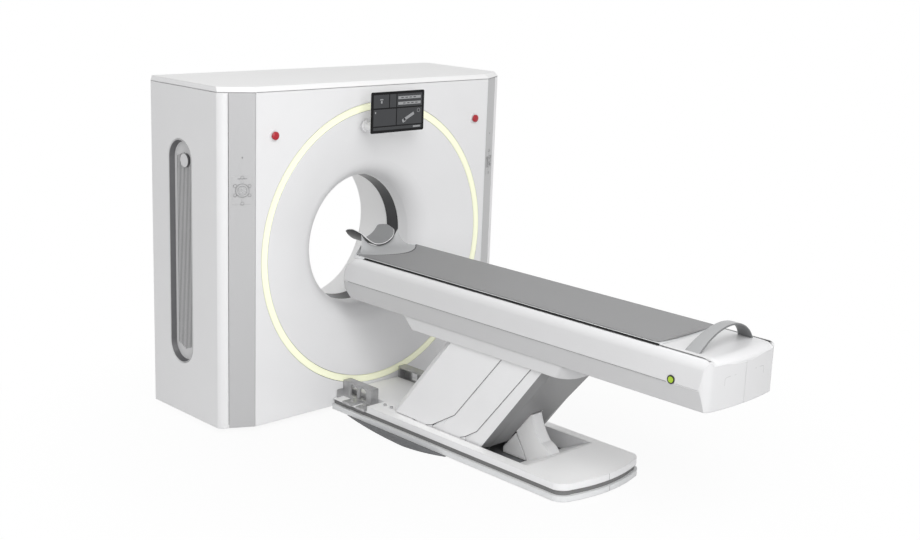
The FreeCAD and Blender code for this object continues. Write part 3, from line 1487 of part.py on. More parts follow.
def housing_plan(inset):
    corners = mirrored_outline([
        (f"housing_turn_half - ({inset})", f"-(housing_turn - ({inset}))", "housing_turn_bow"),
        (f"crease_half - ({inset})", "-housing_side_end"),
        (f"crease_half - ({inset})", f"-(housing_front + ({inset}))")])
    corners[-1] = arc(corners[-1][:2], corners[0][:2], "housing_end_bow")
    return corners


def housing_profile(inset, top):
    end = f"(housing_end - ({inset}))"
    low = f"(housing_bottom + ({inset}))"
    front_top = (f"-(housing_front + ({inset}))", "housing_front_top")
    roll = (f"-(housing_top_start + ({inset}))", top)
    foot_start = (f"-({end} - foot_roll)", top)
    foot_stop = (f"-{end}", f"({top} - foot_roll)")
    return [(f"-({end} - seam)", low), (f"-(housing_front_foot + ({inset}))", low),
            (f"-(housing_front + ({inset}))", "housing_front_sill"), arc(front_top, roll, "front_roll"),
            roll,
            arc(foot_start, foot_stop, quarter("foot_roll")), foot_stop]


def cradle_section(grow, top):
    """The cradle across the table, with its curved belly."""
    half = f"(cradle_half + ({grow}))"
    low = f"(cradle_side - ({grow}))"
    return [arc((f"-{half}", low), (half, low), "cradle_belly"), (half, low), (half, top),
            (f"-{half}", top)]


def make_housing():
    wide = ("-2 * crease_half", "2 * crease_half")
    outer = shared("housing_outer", [
        slab("housing_section", "XZ_Plane", [housing_section("0", "housing_top")], "-2 * housing_turn",
             "0"),
        slab("housing_plan", "XY_Plane", [housing_plan("0")], "0", "2 * housing_top"),
        slab("housing_profile", "YZ_Plane", [housing_profile("0", "housing_top")], *wide)])
    open_top = "(housing_top + seam)"
    inner = shared("housing_inner", [
        slab("inner_section", "XZ_Plane", [housing_section("housing_wall", open_top)],
             "-2 * housing_turn", "0"),
        slab("inner_plan", "XY_Plane", [housing_plan("housing_wall")], "0", "2 * housing_top"),
        slab("inner_profile", "YZ_Plane", [housing_profile("housing_wall", open_top)], *wide)])
    channel = slab("cradle_channel", "XZ_Plane", [cradle_section("cradle_clearance", "2 * housing_top")],
                   "-cradle_end", "0")
    foot_channel = block("foot_channel", ("-foot_cover_half - seam", "foot_cover_half + seam"),
                         ("-2 * housing_turn", "-cradle_end"),
                         ("foot_cover_bottom - foot_seam", "2 * housing_top"))
    slot = block("slot_channel", ("-slot_half", "slot_half"), ("-cradle_end", "-housing_top_start"),
                 ("cradle_side", "2 * housing_top"))
    belly = block("belly_opening",
                  ("-carriage_half_width + carriage_wall", "carriage_half_width - carriage_wall"),
                  ("-housing_opening_end", "-housing_opening_start"),
                  ("0", "housing_bottom + 2 * housing_wall"))
    holes = rod("button_holes", "X", ("-2 * crease_half", "-button_place", "button_height"),
                "4 * crease_half",
                "button_ring_radius")
    shell = cut("housing_shell", outer, inner)
    open_shell = cut("housing_open", shell,
                     fused("housing_cuts", [channel, foot_channel, slot, belly, holes]))
    far = ("-2 * housing_turn", "0")
    right_half = block("housing_left_away", ("-2 * crease_half", "seam / 4"), far,
                       ("0", "2 * housing_top"))
    right = cut("right_table_housing", open_shell, right_half)
    pair_of_nodes("table_housing", right)


def make_table_buttons():
    """A push button in a ring on each side of the table."""
    face = "button_face"
    ring = tube("button_ring", "X", (f"{face} - button_depth", "-button_place", "button_height"),
                "button_depth + button_ring_proud", "button_ring_radius",
                "button_radius + button_clearance")
    node(both_sides("button_rings", ring), "button_rings")
    cap = rod("right_table_button", "X", (f"{face} - button_depth", "-button_place", "button_height"),
              "button_depth + button_proud", "button_radius")
    pair_of_nodes("table_button", cap)


# ---- sliding tabletop ------------------------------------------------------

def make_cradle():
    rim = "(cradle_half - cradle_rim)"
    outline = [arc(("-cradle_half", "cradle_side"), ("cradle_half", "cradle_side"), "cradle_belly"),
               ("cradle_half", "cradle_side"), ("cradle_half", "cradle_edge"),
               arc((rim, "cradle_edge"), (f"-{rim}", "cradle_edge"), "-cradle_hollow"),
               (f"-{rim}", "cradle_edge"), ("-cradle_half", "cradle_edge")]
    bed = slab("cradle_bed", "XZ_Plane", [outline], "-cradle_end", "-cradle_start")
    node(fused("cradle", [bed] + slide_shoes()), "cradle")


def make_mat():
    """A crowned mat that lies in the hollow of the cradle."""
    low = "(cradle_edge + mat_gap)"
    high = "(cradle_edge + mat_wall)"
    outline = [arc(("-mat_half", low), ("mat_half", low), "cradle_hollow"), ("mat_half", low),
               arc(("mat_half", high), ("-mat_half", high), "mat_crown"), ("-mat_half", high)]
    across = slab("mat_across", "XZ_Plane", [outline], "-mat_end", "-mat_start")
    turn = quarter("mat_corner")
    plan = mirrored_outline([("mat_half - mat_corner", "-mat_end", turn),
                             ("mat_half", "-mat_end + mat_corner"),
                             ("mat_half", "-mat_start - mat_corner", turn),
                             ("mat_half - mat_corner", "-mat_start")])
    trim = slab("mat_plan", "XY_Plane", [plan], "cradle_side", "cradle_edge + 10 * mat_wall")
    node(shared("mat", [across, trim]), "mat")


def make_foot_cover():
    """The cover behind the cradle, which rolls down over the foot end."""
    drop = "(foot_cover_top - foot_cover_bottom)"
    run = f"sqrt(2 * foot_roll * {drop} - {drop}^2)"
    roll_start = "(housing_end - foot_roll)"
    profile = [(f"-({roll_start} + {run})", "foot_cover_bottom"),
               ("-foot_cover_start", "foot_cover_bottom"),
               ("-foot_cover_start", "foot_cover_top"),
               arc((f"-{roll_start}", "foot_cover_top"),
                   (f"-({roll_start} + {run})", "foot_cover_bottom"),
                   f"foot_roll - sqrt(foot_roll^2 - foot_roll * {drop} / 2)")]
    solid = slab("foot_cover_solid", "YZ_Plane", [profile], "-foot_cover_half", "foot_cover_half")
    plan = mirrored_outline([
        ("foot_cover_turn_half", "-(housing_turn - seam)", "housing_turn_bow"),
        ("foot_cover_half", "-housing_side_end"), ("foot_cover_half", "-foot_cover_start")])
    plan[-1] = arc(plan[-1][:2], plan[0][:2], "housing_end_bow - seam")
    trim = slab("foot_cover_plan", "XY_Plane", [plan], "foot_cover_bottom", "2 * foot_cover_top")
    hollow = block("foot_cover_hollow",
                   ("-foot_cover_half + foot_cover_wall", "foot_cover_half - foot_cover_wall"),
                   ("-housing_side_end + foot_cover_wall", "-foot_cover_start - foot_cover_wall"),
                   ("foot_cover_bottom", "foot_cover_top - foot_cover_wall"))
    node(cut("foot_cover", shared("foot_cover_form", [solid, trim]), hollow), "foot_cover")


def make_handle():
    """An arched strap that leans toward the foot end and narrows upward."""
    inner = "(handle_half - handle_wall)"
    outline = [("handle_half", "foot_cover_top", "0", "handle_top"), ("-handle_half", "foot_cover_top"),
               (f"-{inner}", "foot_cover_top", "0", "handle_top - handle_wall"),
               (inner, "foot_cover_top")]
    arch = slab("handle_arch", "XZ_Plane", [outline], "-handle_top_far", "-handle_near")
    side = [("-handle_far", "foot_cover_top"), ("-handle_near", "foot_cover_top"),
            ("-handle_top_near", "handle_top"), ("-handle_top_far", "handle_top")]
    lean = slab("handle_lean", "YZ_Plane", [side], "-handle_half", "handle_half")
    node(shared("handle", [arch, lean]), "handle")


def slide_shoes():
    """Shoes under the cradle that run on the rails, and the beam that joins them."""
    rail_low = "(lug_top + frame_top_wall)"
    rail_top = f"({rail_low} + rail_height)"
    bridge_top = "(cradle_side - cradle_belly + 2 * shoe_wall)"
    shoes = []
    for count in range(2):
        near = f"(-cradle_end + shoe_length + {count} * shoe_pitch)"
        far = f"({near} - shoe_length)"
        bridge = block(f"shoe_bridge_{count}",
                       ("rail_offset - rail_width / 2 - shoe_wall",
                        "rail_offset + rail_width / 2 + shoe_wall"),
                       (far, near), (f"{rail_low} + shoe_wall", bridge_top))
        groove = block(f"shoe_groove_{count}",
                       ("rail_offset - rail_width / 2 - seam / 4",
                        "rail_offset + rail_width / 2 + seam / 4"),
                       (far, near), (rail_low, f"{rail_top} + seam / 4"))
        shoes.append(cut(f"shoe_{count}", bridge, groove))
    shoes += [mirrored(f"shoe_left_{count}", shoe) for count, shoe in enumerate(shoes)]
    return shoes


def neck_section(half, belly, top):
    """The neck across the table, with a belly that follows the cradle's."""
    low = "cradle_side"
    return [arc((f"-{half}", low), (half, low), belly), (half, low), (half, top), (f"-{half}", top)]


def make_neck():
    """The neck narrows from the width of the cradle to the head holder."""
    root = neck_section("neck_root_half", "neck_root_belly", "neck_root_top")
    tip = neck_section("neck_half", "neck_belly", "neck_top")
    neck = lofted("neck_loft", "XZ_Plane", [(tip, "neck_end"), (root, "cradle_start")])
    over = slab("neck_saddle_cut", "XZ_Plane", [holder_bowl("seam / 10")], "-holder_start",
                "-neck_end + holder_wall")
    node(cut("neck", neck, over), "neck")


def holder_bowl(grow):
    """The outer face of the head holder across the table, closed above."""
    half = f"(holder_half + ({grow}))"
    low = f"(holder_bottom - ({grow}))"
    return [(f"-{half}", "holder_rim", "0", low), (half, "holder_rim")]


def make_head_holder():
    """A bent trough whose side walls sweep up into leaf-shaped tips."""
    inner = "(holder_half - holder_wall)"
    outline = [("-holder_half", "holder_rim", "0", "holder_bottom"), ("holder_half", "holder_rim"),
               (inner, "holder_rim", "0", "holder_bottom + holder_wall"), (f"-{inner}", "holder_rim")]
    trough = slab("holder_trough", "XZ_Plane", [outline], "-holder_start", "-holder_end")
    tip = ("-holder_end", "holder_tip_top")
    shoulder = ("-holder_shoulder", "holder_shoulder_height")
    front = ("-holder_start", "holder_front_height")
    low_tip = ("-holder_end", "holder_tip_low")
    floor_end = ("-holder_floor_end", "holder_bottom")
    leaf = [arc(tip, shoulder, "holder_top_bow"), arc(shoulder, front, "holder_wall / 2"), front,
            ("-holder_start", "holder_bottom"), arc(floor_end, low_tip, "holder_sweep"), low_tip]
    side = slab("holder_side", "YZ_Plane", [leaf], "-holder_half", "holder_half")
    node(shared("head_holder", [trough, side]), "head_holder")


# ---- build, check and write ------------------------------------------------

def build_gantry():
    make_front_cover()
    make_light_ring()
    make_bore_funnel()
    make_scan_window()
    make_rear_funnel()
    make_rear_cover()
    make_side_covers()
    make_recess_pans()
    make_top_cover()
    make_control_strips()
    make_stop_buttons()
    make_display()


def build_inside():
    make_gantry_frame()
    make_bearing()
    make_rotor()
    make_slip_ring()
    make_xray_tube()
    make_detector()
    make_generator()
    make_cooler()
    make_rotor_drive()


def build_base():
    make_base_skirts()
    make_deck()
    make_pit_liner()
    make_anchors()
    make_base_frame()
    make_shafts()
    make_shroud()


def build_table():
    make_links()
    make_front_link_cover()
    make_middle_panels()
    make_rear_link_cover()
    make_carriage_cover()
    make_carriage_frame()
    make_housing()
    make_table_buttons()
    make_cradle()
    make_mat()
    make_foot_cover()
    make_handle()
    make_neck()
    make_head_holder()


def check_and_write():
    """Refuse to write anything unless every feature and every shape is sound."""
    for thing in doc.Objects:
        if {"Invalid", "Error"} & set(thing.State):
            raise RuntimeError(f"{thing.Label} failed: {thing.State}")
    for thing in NODES:
        if thing.Shape.isNull() or not thing.Shape.isValid():
            raise RuntimeError(f"{thing.Label} has no sound shape")
    os.makedirs("parts", exist_ok=True)
    for thing in NODES:
        thing.Shape.exportStep(f"parts/{thing.Label}.step")


build_gantry()
build_inside()
build_base()
build_table()
doc.recompute()
check_and_write()
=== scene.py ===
import json
import math
import bmesh
import bpy
from mathutils import Matrix, Vector


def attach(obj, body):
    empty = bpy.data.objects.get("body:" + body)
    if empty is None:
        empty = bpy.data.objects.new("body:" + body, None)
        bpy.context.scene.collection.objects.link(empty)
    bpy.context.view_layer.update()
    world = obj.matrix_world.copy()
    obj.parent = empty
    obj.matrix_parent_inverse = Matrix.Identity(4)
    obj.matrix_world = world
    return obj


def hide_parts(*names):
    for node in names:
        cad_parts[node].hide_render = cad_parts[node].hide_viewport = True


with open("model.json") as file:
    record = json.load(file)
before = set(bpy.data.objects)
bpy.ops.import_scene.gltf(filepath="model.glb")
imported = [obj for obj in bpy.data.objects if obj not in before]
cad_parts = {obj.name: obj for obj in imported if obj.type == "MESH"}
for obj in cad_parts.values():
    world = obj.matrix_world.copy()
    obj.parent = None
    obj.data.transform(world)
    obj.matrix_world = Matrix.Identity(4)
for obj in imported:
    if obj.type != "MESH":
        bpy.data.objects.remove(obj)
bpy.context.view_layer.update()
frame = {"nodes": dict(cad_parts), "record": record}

# The looks of the CT scanner, built round its CAD model. Pieces are in millimetres in the row
# frame: +Z up, the floor at 0, the bore along Y and the table towards -Y. The floor, the lamps,
# the camera and SAME_SPOT are in metres.

MM = 0.001
SAME_SPOT = 1e-6
SIDES = (-1, 1)
ALONG_X, UPWARD, TO_FOOT_END = (1, 0, 0), (0, 0, 1), (0, -1, 0)

# The tabletop's mat, and what lies beside it.
MAT_FOOT, MAT_HEAD, MAT_HALF = -2440, -358, 222
TONGUE_LENGTH = 146
SLOT_FOOT, SLOT_HEAD = -2454, -440

# The head holder's cup and the neck bend round one axis along Y.
CUP_AXIS = 1065.0

# The table housing's foot end bulges a little between its corners.
HOUSING_BULGE_HALF = 224

# How far the lift's links lean at rest, and the height of the pivots they lean from.
LEAN = math.radians(39.5)
LOWER_PIVOT_HEIGHT = 60


# ---- materials ------------------------------------------------------------------------------

# The colour sockets of a Mix node, which share their names with its other sockets.
MIX_A, MIX_B, MIX_RESULT = 6, 7, 2


class Tree:
    """The shader nodes of a material or a world."""

    def __init__(self, owner, output):
        owner.use_nodes = True
        self.nodes, self.links = owner.node_tree.nodes, owner.node_tree.links
        self.nodes.clear()
        self.out = self.add(output)

    def add(self, kind, inputs=None, **settings):
        """A new node; each input is given a value, or the output that it is linked to."""
        node = self.nodes.new("ShaderNode" + kind)
        for key, value in settings.items():
            setattr(node, key, value)
        for key, value in (inputs or {}).items():
            if isinstance(value, bpy.types.NodeSocket):
                self.links.new(value, node.inputs[key])
            else:
                node.inputs[key].default_value = value
        return node

    def show(self, shader):
        """Link a shader to the surface output."""
        self.links.new(shader.outputs[0], self.out.inputs[0])

    def tint(self, tone, shade, amount, start, end):
        """A tone that turns into a shade as the amount goes from start to end."""
        step = self.add("MapRange", {"Value": amount, "From Min": start, "From Max": end})
        mix = self.add("Mix", data_type="RGBA")
        self.links.new(step.outputs[0], mix.inputs["Factor"])
        self.links.new(tone, mix.inputs[MIX_A])
        mix.inputs[MIX_B].default_value = rgba(shade)
        return mix.outputs[MIX_RESULT]


def rgba(levels):
    """A linear colour from three sRGB levels, 0 to 255."""
    linear = [((v / 255 + 0.055) / 1.055) ** 2.4 if v > 10 else v / 255 / 12.92 for v in levels]
    return (*linear, 1.0)


def finish_material(name, colour, rough=0.45, vary=0.03, grain=900.0, bump=0.04, metallic=0.0,
                    coat=0.0, spread=2.5, emission=0.0, stretch=(1, 1, 1), specular=0.5,
                    edge=3.0, sides=None, painted_tilt_shading=None):
    """A moulded, painted or metal surface: soft colour drift, fine grain, uneven gloss and edges
    softened over some millimetres.

    sides paints light and shade by facing: a colour for faces that look along X, and how squarely
    they start and end to take it. painted_tilt_shading is painted shade for faces that look down,
    and painted light for faces that look up.
    """
    faces_down, faces_up = (-0.04, -0.14), (0.15, 0.6)
    material = bpy.data.materials.new(name)
    t = Tree(material, "OutputMaterial")
    place = t.add("TexCoord")
    spots = t.add("Mapping", {"Vector": place.outputs["Object"], "Scale": stretch}).outputs[0]
    drift = t.add("TexNoise", {"Vector": spots, "Scale": spread, "Detail": 3.0}).outputs["Fac"]
    fine = t.add("TexNoise", {"Vector": spots, "Scale": grain, "Detail": 2.0}).outputs["Fac"]

    base = rgba(colour)
    ramp = t.add("ValToRGB", {0: drift})
    dark, light = ramp.color_ramp.elements
    dark.position, light.position = 0.3, 0.7
    dark.color = (*(c * (1 - vary) for c in base[:3]), 1)
    light.color = (*(min(1, c * (1 + vary)) for c in base[:3]), 1)
    tone = ramp.outputs[0]
    # Painted light and shade: faces that look along X turn towards another colour.
    if sides:
        shade, start, end = sides
        facing = t.add("SeparateXYZ", {0: place.outputs["Normal"]}).outputs["X"]
        either_way = t.add("Math", {0: facing}, operation="ABSOLUTE").outputs[0]
        tone = t.tint(tone, shade, either_way, start, end)
    # Painted shade on faces that look down, and painted light on faces that look up.
    if painted_tilt_shading:
        below, above = painted_tilt_shading
        facing = t.add("SeparateXYZ", {0: place.outputs["Normal"]}).outputs["Z"]
        tone = t.tint(tone, below, facing, *faces_down)
        tone = t.tint(tone, above, facing, *faces_up)

    gloss = t.add("MapRange", {"Value": drift, "To Min": rough - 0.05, "To Max": rough + 0.07})
    relief = t.add("Bump", {"Strength": bump, "Distance": 0.001, "Height": fine})
    if edge:
        rounded = t.add("Bevel", {"Radius": edge * MM}, samples=4)
        t.links.new(rounded.outputs[0], relief.inputs["Normal"])
    looks = {"Base Color": tone, "Roughness": gloss.outputs[0], "Normal": relief.outputs[0],
             "Metallic": metallic, "Specular IOR Level": specular,
             "Coat Weight": coat, "Coat Roughness": 0.2}
    if emission:
        looks.update({"Emission Color": base, "Emission Strength": emission})
    t.show(t.add("BsdfPrincipled", looks))
    return material


# The finish of each material slot: its colour, its roughness and what else sets it apart.
FINISHES = {
    "white_shell": ((236, 236, 237), 0.38, dict(vary=0.012, coat=0.1, edge=6.0)),
    "grey_strip": ((190, 190, 191), 0.36, dict(stretch=(1, 1, 0.05), grain=300)),
    "light_strip": ((250, 252, 222), 0.5, dict(vary=0.01, emission=0.16)),
    "dark_window": ((52, 52, 54), 0.3, dict(vary=0.35, spread=3.5, edge=0, specular=0.35)),
    # recess_grey: the dark base colour is painted shade on the recess walls; faces that look along
    # X keep a light grey.
    "recess_grey": ((96, 96, 98), 0.4, dict(edge=1.5, sides=((222, 222, 223), 0.75, 0.97))),
    "screen": ((16, 16, 18), 0.3, dict(specular=0.15)),
    "stop_red": ((172, 8, 32), 0.3, dict(vary=0.1, coat=0.15)),
    "painted_steel": ((106, 107, 109), 0.42, {}),
    "bearing_steel": ((196, 197, 198), 0.3, dict(metallic=1.0)),
    "rotor_casting": ((188, 189, 191), 0.42, dict(metallic=0.9)),
    "slip_ring": ((70, 70, 74), 0.45, {}),
    "black_plastic": ((30, 30, 31), 0.5, {}),
    "motor_metal": ((150, 152, 155), 0.4, dict(metallic=0.9)),
    "generator_grey": ((120, 122, 125), 0.45, {}),
    "base_white": ((226, 227, 228), 0.45, dict(vary=0.015, edge=7.0)),
    "groove_grey": ((122, 122, 122), 0.55, {}),
    "anchor_steel": ((176, 176, 177), 0.3, dict(vary=0.15, metallic=0.5, spread=20, edge=2.0)),
    # arm_grey: faces that look along X are painted lighter, as painted light.
    "arm_grey": ((226, 226, 227), 0.45, dict(edge=9.0, sides=((253, 253, 253), 0.6, 0.95))),
    "link_cover_white": ((238, 238, 239), 0.42, dict(vary=0.012, edge=5.0)),
    # link_cover_grey: the mid grey is painted shade on the rear face of a white cover; faces that
    # look along X keep the white.
    "link_cover_grey": ((130, 130, 131), 0.42, dict(sides=((236, 236, 237), 0.7, 0.99))),
    "cradle_white": ((236, 237, 238), 0.4, dict(vary=0.012)),
    "mat_grey": ((147, 147, 148), 0.5, dict(vary=0.03, grain=700, bump=0.12, edge=0)),
    "handle_grey": ((172, 173, 174), 0.34, dict(edge=0)),
    "holder_grey": ((158, 159, 160), 0.42, dict(edge=0)),
    "button_green": ((164, 196, 40), 0.3, dict(vary=0.08, coat=0.3)),
}

# Finishes of single nodes, whose shade in the photo differs from their slot's.
NODE_FINISHES = {
    "neck_light": ((186, 187, 188), 0.4, dict(edge=0)),
    # A brighter white than the shell's: painted light inside the bore.
    "rear_white_painted_light": ((253, 253, 253), 0.45, dict(vary=0.005)),
    # A lighter copy of base_white: painted light on the shaded deck, lighter still on faces that
    # look up.
    "deck_white_painted_light": ((238, 238, 239), 0.4, dict(vary=0.01, edge=7.0,
                                              painted_tilt_shading=((238, 238, 239), (253, 253, 253)))),
    # A darker copy of white_shell: painted shade on the table's housings and carriage cover,
    # darker on faces that look down and lighter, as painted light, on faces that look up.
    "table_white_painted_shading": ((216, 216, 217), 0.38, dict(vary=0.012, coat=0.1, edge=6.0,
                                                painted_tilt_shading=((198, 198, 199), (238, 238, 239)))),
}
MATERIALS = {name: finish_material(name + "_finish", colour, rough, **more)
             for name, (colour, rough, more) in {**FINISHES, **NODE_FINISHES}.items()}

# Painted shadow in gaps and along the steps between parts.
GAP_SHADOW = finish_material("joint_shadow", (74, 74, 75), 0.7, edge=0)
SOFT_SEAM = finish_material("soft_joint_shadow", (150, 150, 151), 0.6, edge=0)
FAINT_SEAM = finish_material("faint_joint_shadow", (182, 182, 183), 0.6, edge=0)
FOOT_WHITE = finish_material("foot_white_finish", (230, 230, 231), 0.4, vary=0.012, coat=0.1,
                             edge=0)
HANDLE_EDGE = finish_material("handle_edge", (112, 113, 114), 0.4, edge=0)
BLACK = finish_material("seal_rubber", (14, 14, 15), 0.6, edge=0)
CARBON = finish_material("carbon_shell", (26, 26, 28), 0.35, vary=0.2, spread=60, coat=0.2, edge=0)
SCREEN_PANE = finish_material("pane_glass", (68, 69, 71), 0.35, edge=0, specular=0.15)
SCREEN_LIGHT = finish_material("lit_marks", (158, 159, 161), 0.4, edge=0, specular=0.15)

OWN_FINISH = {
    "left_table_housing": "table_white_painted_shading", "right_table_housing": "table_white_painted_shading",
    "carriage_cover": "table_white_painted_shading", "neck": "neck_light", "rear_funnel": "rear_white_painted_light",
    "base_deck": "deck_white_painted_light", "pit_liner": "deck_white_painted_light", "top_cover": "deck_white_painted_light",
}
CAD_SLOTS = {part["node"]: part["material_slot"] for part in frame["record"]["subparts"]}
for node_name, solid in frame["nodes"].items():
    solid.data.materials.clear()
    solid.data.materials.append(MATERIALS[OWN_FINISH.get(node_name, CAD_SLOTS[node_name])])


# ---- shapes: each is a list of points in millimetres and a list of faces ---------------------

def piece(name, body, shape, finishes, stands_for=(), rounds=0, angle=35.0, index=None):
    """A new piece. index gives each face's material, and angle is where its edges stay sharp."""
    points, faces = shape
    mesh = bpy.data.meshes.new(name)
    mesh.from_pydata([(x * MM, y * MM, z * MM) for x, y, z in points], [], faces)
    for finish in finishes:
        mesh.materials.append(finish)
    if index:
        mesh.polygons.foreach_set("material_index", index)
    net = bmesh.new()
    net.from_mesh(mesh)
    bmesh.ops.remove_doubles(net, verts=net.verts, dist=SAME_SPOT)
    bmesh.ops.dissolve_degenerate(net, edges=net.edges, dist=SAME_SPOT)
    bmesh.ops.recalc_face_normals(net, faces=net.faces)
    net.to_mesh(mesh)
    net.free()
    thing = bpy.data.objects.new(name, mesh)
    bpy.context.scene.collection.objects.link(thing)
    if rounds:
        thing.modifiers.new("round", "SUBSURF").levels = rounds
        bpy.context.view_layer.update()
        evaluated = thing.evaluated_get(bpy.context.evaluated_depsgraph_get())
        rounded = bpy.data.meshes.new_from_object(evaluated)
        thing.modifiers.clear()
        thing.data = rounded
    thing.data.polygons.foreach_set("use_smooth", [True] * len(thing.data.polygons))
    thing.data.set_sharp_from_angle(angle=math.radians(angle))
    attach(thing, body)
    if stands_for:
        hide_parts(*stands_for)
    return thing


def skin(rows, closed=True, caps=True):
    """A shape over rows of equally many points; closed joins each row's ends."""
    width = len(rows[0])
    faces = []
    for i in range(len(rows) - 1):
        for j in range(width if closed else width - 1):
            k = (j + 1) % width
            faces.append((i * width + j, i * width + k, (i + 1) * width + k, (i + 1) * width + j))
    if caps:
        last = (len(rows) - 1) * width
        faces.append(tuple(range(width)))
        faces.append(tuple(range(last, last + width)))
    return [point for row in rows for point in row], faces


def joined(shapes):
    """Several shapes as one."""
    points, faces = [], []
    for more_points, more_faces in shapes:
        start = len(points)
        points += more_points
        faces += [tuple(i + start for i in face) for face in more_faces]
    return points, faces


def slim(path, normal, width, proud, sunk):
    """A thin bar along a path, as a seam or a seal."""
    rows = []
    up = Vector(normal).normalized()
    spots = [Vector(point) for point in path]
    for i, spot in enumerate(spots):
        run = spots[min(i + 1, len(spots) - 1)] - spots[max(i - 1, 0)]
        side = run.cross(up).normalized() * width / 2
        rows.append([tuple(spot + side + up * proud), tuple(spot - side + up * proud),
                     tuple(spot - side - up * sunk), tuple(spot + side - up * sunk)])
    return skin(rows)


def plate(centre, across, up, half_across, half_up, proud, corner=2.0):
    """A thin plate with rounded corners that stands proud of the plane through centre."""
    sunk, corner_steps = 0.5, 4
    c, a, u = Vector(centre), Vector(across).normalized(), Vector(up).normalized()
    out = a.cross(u).normalized()
    ring = []
    for quarter, (sx, sy) in enumerate(((1, 1), (-1, 1), (-1, -1), (1, -1))):
        for step in range(corner_steps + 1):
            angle = math.radians(90 * (quarter + step / corner_steps))
            ring.append(a * (sx * (half_across - corner) + corner * math.cos(angle))
                        + u * (sy * (half_up - corner) + corner * math.sin(angle)))
    return skin([[tuple(c + spot + out * level) for spot in ring] for level in (-sunk, proud)])


def hoop(centre, across, up, radius, thick, proud, sides):
    """A raised ring on the plane through centre."""
    sunk = 0.5
    c, a, u = Vector(centre), Vector(across).normalized(), Vector(up).normalized()
    out = a.cross(u).normalized()
    section = [(radius + thick / 2, -sunk), (radius + thick / 2, proud),
               (radius - thick / 2, proud), (radius - thick / 2, -sunk)]
    rows = []
    for step in range(sides + 1):
        angle = 2 * math.pi * step / sides
        ray = a * math.cos(angle) + u * math.sin(angle)
        rows.append([tuple(c + ray * reach + out * level) for reach, level in section])
    return skin(rows, caps=False)


def blend_to(low, high, share):
    return low + (high - low) * share


def crown(x, half):
    """1 on the middle line and 0 at a half width to either side, as a parabola."""
    return 1 - (x / half) ** 2


def signed_power(value, power):
    return math.copysign(abs(value) ** power, value)


# ---- the tabletop: mat, head holder, neck, foot cover and handle ------------------------------

def tongue_end(x):
    """Where the neck's tongue ends over the tabletop, at a distance x from the middle."""
    share = min(1.0, abs(x) / MAT_HALF)
    return MAT_HEAD - TONGUE_LENGTH * (1 - share ** 1.9)


def make_mat():
    """A padded sheet with a rolled, welded edge and a front that follows the neck's tongue."""
    length = MAT_HEAD - MAT_FOOT
    roll = 5.0
    groove_inset, groove_half, groove_depth = 15, 2.2, 1.1
    corner_radius, tongue_gap = 20, 6
    corner_x, corner_y = MAT_HALF - corner_radius, MAT_FOOT + corner_radius

    half_across = [0, 40, 80, 120, 160, 185, 200, 205, 207, 209, 211, 216, 220, 221.6, MAT_HALF]
    across = [-x for x in half_across[:0:-1]] + half_across
    end_rows = [0, 0.6, 2, 5, 11, 13, 15, 17, 19, 30]
    middle_rows = list(range(70, 2031, 40))
    along = end_rows + middle_rows + [length - d for d in end_rows[::-1]]

    def fullness(gap):
        """How full the pad is at a gap from its edge, as a quarter circle."""
        return math.sqrt(max(0.0, 1 - (1 - min(gap, roll) / roll) ** 2))

    def groove(gap):
        """The depth of the weld that runs round the mat inside its edge."""
        return groove_depth * max(0.0, 1 - abs(gap - groove_inset) / groove_half)

    top, bottom = [], []
    for d in along:
        upper, lower = [], []
        for x in across:
            head = tongue_end(x) - tongue_gap
            y = MAT_FOOT + (length - d) / length * (head - MAT_FOOT)
            end_gap = min(head - y, y - MAT_FOOT)
            if y < corner_y + corner_radius and abs(x) > corner_x:
                reach = abs(x) - corner_x
                if y < corner_y:
                    reach = math.hypot(reach, corner_y - y)
                if reach > corner_radius:
                    drawn_in = corner_radius / reach
                    x = math.copysign(corner_x + (abs(x) - corner_x) * drawn_in, x)
                    y = corner_y - (corner_y - y) * drawn_in
                end_gap = min(end_gap, max(0.0, corner_radius - reach))
            gap = min(MAT_HALF - abs(x), end_gap)
            rise = crown(x, MAT_HALF)
            rim, above, below = 905.6 - 1.5 * rise, 908 + 3 * rise, 903.6 - 8.4 * rise
            upper.append((x, y, blend_to(rim, above, fullness(gap)) - groove(gap)))
            lower.append((x, y, blend_to(rim, below, fullness(gap))))
        top.append(upper)
        bottom.append(lower)
    shape = joined([skin(top, closed=False, caps=False), skin(bottom, closed=False, caps=False)])
    pad = piece("mat_pad", "tabletop", shape, [MATERIALS["mat_grey"]], ("mat",),
                angle=60)


def make_mat_shadow():
    """The dark line in the gap between the mat and the tongue."""
    gap_middle = 3
    line = [(x, tongue_end(x) - gap_middle, 900.8 + 7 * crown(x, MAT_HALF))
            for x in range(-220, 221, 11)]
    piece("mat_front_shadow", "tabletop", slim(line, UPWARD, width=6, proud=3.2, sunk=4), [GAP_SHADOW])


